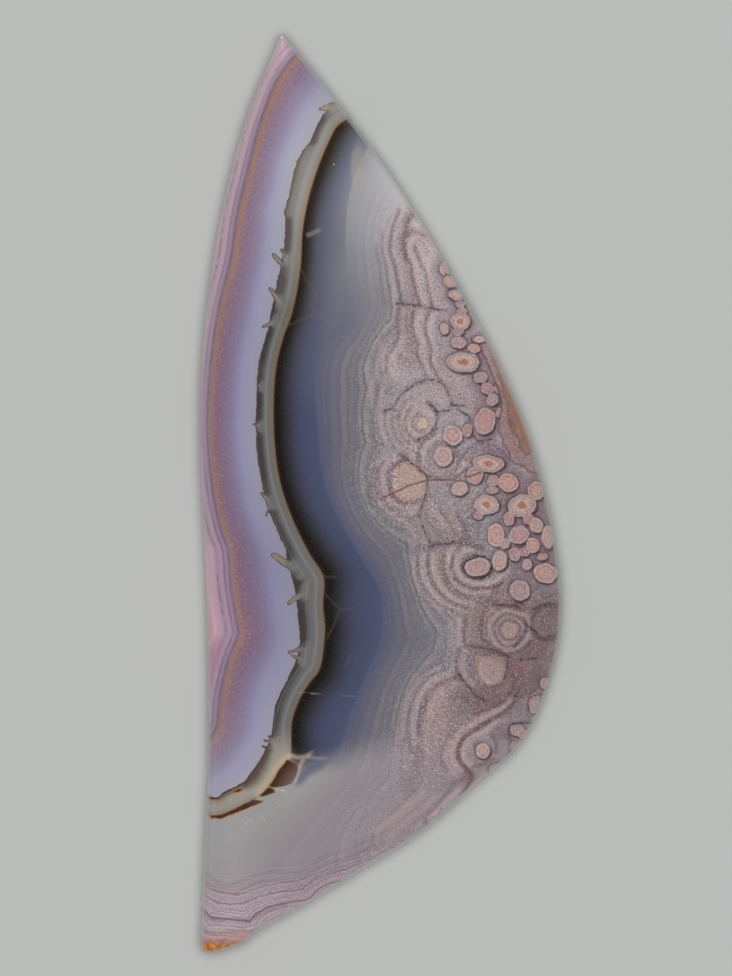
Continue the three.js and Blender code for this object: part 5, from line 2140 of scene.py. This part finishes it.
@dataclass
class DomeLift:
    """Geometry Nodes that lift the flat plate into a shoulder and a low crown."""

    form: StoneForm
    reach: float

    def tree(self, material: bpy.types.Material) -> bpy.types.NodeTree:
        """The node tree, with its sizes as named inputs."""
        tree = bpy.data.node_groups.new("dome_lift", "GeometryNodeTree")
        face = tree.interface
        face.new_socket("Geometry", in_out="INPUT", socket_type="NodeSocketGeometry")
        for name in ("Girdle Top", "Shoulder Width", "Shoulder Rise", "Crown Rise", "Reach"):
            face.new_socket(name, in_out="INPUT", socket_type="NodeSocketFloat")
        face.new_socket("Geometry", in_out="OUTPUT", socket_type="NodeSocketGeometry")
        w = Wiring(tree)
        given = w.node("NodeGroupInput").outputs
        edge = w.node("GeometryNodeInputNamedAttribute", data_type="FLOAT")
        edge.inputs["Name"].default_value = "rim_gap"
        gap = edge.outputs["Attribute"]
        near = w.math("MINIMUM", w.math("DIVIDE", gap, given["Shoulder Width"]), 1.0)
        far = w.math("MINIMUM", w.math("DIVIDE", gap, given["Reach"]), 1.0)
        short = w.math("SUBTRACT", 1.0, near)
        slack = w.math("SUBTRACT", 1.0, far)
        round_part = w.math("SQRT", w.math("SUBTRACT", 1.0, w.times(short, short)))
        low_part = w.math("SUBTRACT", 1.0, w.times(slack, slack))
        rise = w.plus(
            w.times(given["Shoulder Rise"], round_part), w.times(given["Crown Rise"], low_part)
        )
        level = w.plus(given["Girdle Top"], rise)
        split = w.node("ShaderNodeSeparateXYZ")
        w.feed(split.inputs[0], w.node("GeometryNodeInputPosition").outputs[0])
        join = w.node("ShaderNodeCombineXYZ")
        w.feed(join.inputs["X"], split.outputs["X"])
        w.feed(join.inputs["Y"], split.outputs["Y"])
        w.feed(join.inputs["Z"], level)
        chosen = w.node("FunctionNodeCompare", data_type="FLOAT", operation="GREATER_THAN")
        w.feed(chosen.inputs[0], gap)
        chosen.inputs[1].default_value = 0.0
        move = w.node("GeometryNodeSetPosition")
        w.feed(move.inputs["Geometry"], given["Geometry"])
        w.feed(move.inputs["Selection"], chosen.outputs[0])
        w.feed(move.inputs["Position"], join.outputs[0])
        real = w.node("GeometryNodeRealizeInstances")
        w.feed(real.inputs["Geometry"], move.outputs["Geometry"])
        dress = w.node("GeometryNodeSetMaterial")
        w.feed(dress.inputs["Geometry"], real.outputs["Geometry"])
        dress.inputs["Material"].default_value = material
        w.feed(w.node("NodeGroupOutput").inputs["Geometry"], dress.outputs["Geometry"])
        return tree

    def sizes(self) -> dict[str, float]:
        """The tree's inputs in metres."""
        form = self.form
        return {
            "Girdle Top": form.girdle_top * MM,
            "Shoulder Width": form.shoulder_width * MM,
            "Shoulder Rise": form.shoulder_rise * MM,
            "Crown Rise": (form.thickness - form.girdle_top - form.shoulder_rise) * MM,
            "Reach": self.reach * MM,
        }

    def apply(self, flat: bpy.types.Object, material: bpy.types.Material) -> bpy.types.Mesh:
        """Runs the tree on an object.

        Args:
            flat: the stone with its face still flat.
            material: the finish that the tree sets.

        Returns:
            The finished mesh.
        """
        tree = self.tree(material)
        modifier = flat.modifiers.new("dome", "NODES")
        modifier.node_group = tree
        sizes = self.sizes()
        for item in tree.interface.items_tree:
            if item.in_out == "INPUT" and item.name in sizes:
                modifier[item.identifier] = sizes[item.name]
        graph = bpy.context.evaluated_depsgraph_get()
        made = bpy.data.meshes.new_from_object(flat.evaluated_get(graph))
        flat.modifiers.remove(modifier)
        return made


@dataclass
class Agate:
    """The stone: its mesh, the pattern on it and its finish."""

    form: StoneForm
    finish: AgateFinish
    slant: Point = (0.28, -0.12)
    sharp_turn: float = 22.0
    matt_depths: Span = (1.9, 2.58)
    wall_depths: Span = (0.0, 0.6)

    def flat_mesh(self) -> tuple[bpy.types.Mesh, float]:
        """The closed surface with its face still flat, carrying its fields.

        Returns:
            The mesh, and the greatest smooth distance from the sides in mm.
        """
        skin = StoneMesh(self.form)
        skin.build()
        places = np.array(skin.lists.places)
        mesh = bpy.data.meshes.new("agate_stone")
        mesh.from_pydata(places * MM, [], skin.lists.triangles)
        layer = mesh.uv_layers.new(name="OFBake")
        layer.data.foreach_set("uv", skin.colour_map().ravel())
        triangles = np.array(skin.lists.triangles)
        first, last = skin.patches[Patch.FACE]
        face_points = np.unique(triangles[first:last])
        gap = np.zeros(len(places))
        gap[face_points] = self.form.smooth_reach(places[face_points, :2])
        reach = float(gap.max())
        rim = np.isin(face_points, list(skin.across))
        gap[face_points[rim]] = 0.0
        self.store(mesh, "rim_gap", gap * MM)
        depth = self.form.girdle_top - places[:, 2]
        sampled = places[:, :2] + depth[:, None] * np.array(self.slant)
        for name, values in GrowthPattern(sampled).measure().items():
            self.store(mesh, name, values)
        self.store(mesh, "matt", ease(depth, *self.matt_depths))
        edge = self.form.edge_distance(places[:, :2])
        self.store(mesh, "rim", edge + np.maximum(depth, 0))
        self.store(mesh, "wall", ease(depth, *self.wall_depths))
        return mesh, reach

    @staticmethod
    def store(mesh: bpy.types.Mesh, name: str, values: np.ndarray) -> None:
        """Puts one number on each point of a mesh."""
        layer = mesh.attributes.new(name, "FLOAT", "POINT")
        layer.data.foreach_set("value", values.astype(np.float32))

    def build(self) -> bpy.types.Object:
        material = self.finish.material()
        flat, reach = self.flat_mesh()
        stone = bpy.data.objects.new("agate_stone", flat)
        bpy.context.scene.collection.objects.link(stone)
        stone.data = DomeLift(self.form, reach).apply(stone, material)
        bpy.data.meshes.remove(flat)
        mesh = stone.data
        mesh.name = "agate_stone"
        mesh.shade_smooth()
        mesh.set_sharp_from_angle(angle=math.radians(self.sharp_turn))
        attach(stone, BODY)
        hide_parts(NODE)
        LOG.info("agate_stone: %d triangles, reach %.2f mm", len(mesh.polygons), reach)
        return stone


# The studio


@dataclass(frozen=True)
class Studio:
    """A pale floor, even soft light and a camera that looks straight down."""

    floor_size: float = 3.0
    floor_colour: Colour = (186, 188, 186)
    floor_rough: float = 0.9
    floor_specular: float = 0.1
    lamp_power: float = 5.97
    lamp_size: float = 0.45
    lamp_height: float = 0.8
    tent_glow: float = 0.14
    lens: float = 300.0
    sensor: float = 36.0
    view_centre: Point = (-0.8, 0.27)
    view_height: float = 53.33
    focus_level: float = 1.9
    clip_start: float = 0.01
    clip_end: float = 10.0

    def floor(self) -> None:
        """A large plain floor under the stone."""
        half = self.floor_size / 2
        mesh = bpy.data.meshes.new("floor")
        corners = [(-half, -half, 0), (half, -half, 0), (half, half, 0), (-half, half, 0)]
        mesh.from_pydata(corners, [], [(0, 1, 2, 3)])
        made = bpy.data.materials.new("pale_floor")
        made.use_nodes = True
        shader = made.node_tree.nodes["Principled BSDF"]
        shader.inputs["Base Color"].default_value = linear(self.floor_colour)
        shader.inputs["Roughness"].default_value = self.floor_rough
        shader.inputs["Specular IOR Level"].default_value = self.floor_specular
        mesh.materials.append(made)
        floor = bpy.data.objects.new("floor", mesh)
        bpy.context.scene.collection.objects.link(floor)

    def light(self) -> None:
        """A wide soft lamp overhead that leaves no glare, in a dim even room."""
        data = bpy.data.lights.new("soft_lamp", "AREA")
        data.shape = "DISK"
        data.size = self.lamp_size
        data.energy = self.lamp_power
        lamp = bpy.data.objects.new("soft_lamp", data)
        lamp.location = (0.0, 0.0, self.lamp_height)
        lamp.visible_glossy = False
        bpy.context.scene.collection.objects.link(lamp)
        world = bpy.data.worlds.new("room")
        world.use_nodes = True
        background = world.node_tree.nodes["Background"]
        background.inputs["Color"].default_value = (1.0, 1.0, 1.0, 1.0)
        background.inputs["Strength"].default_value = self.tent_glow
        bpy.context.scene.world = world

    def camera(self) -> None:
        """A long lens straight above the middle of the picture."""
        data = bpy.data.cameras.new("camera")
        data.lens = self.lens
        data.sensor_width = self.sensor
        data.sensor_fit = "AUTO"
        data.clip_start = self.clip_start
        data.clip_end = self.clip_end
        camera = bpy.data.objects.new("camera", data)
        away = self.view_height / self.sensor * self.lens
        camera.location = (
            self.view_centre[0] * MM,
            self.view_centre[1] * MM,
            (self.focus_level + away) * MM,
        )
        bpy.context.scene.collection.objects.link(camera)
        bpy.context.scene.camera = camera

    def build(self) -> None:
        """Sets the whole studio up."""
        self.camera()
        self.floor()
        self.light()
        bpy.context.scene.view_settings.view_transform = "Standard"


def main() -> None:
    """Builds the stone, lays it out and lights it."""
    logging.basicConfig(level=logging.INFO, format="%(name)s: %(message)s")
    Studio().build()
    LOG.info("studio: camera, floor and lights")
    Agate(StoneForm(), AgateFinish()).build()


if __name__ == "__main__":
    main()
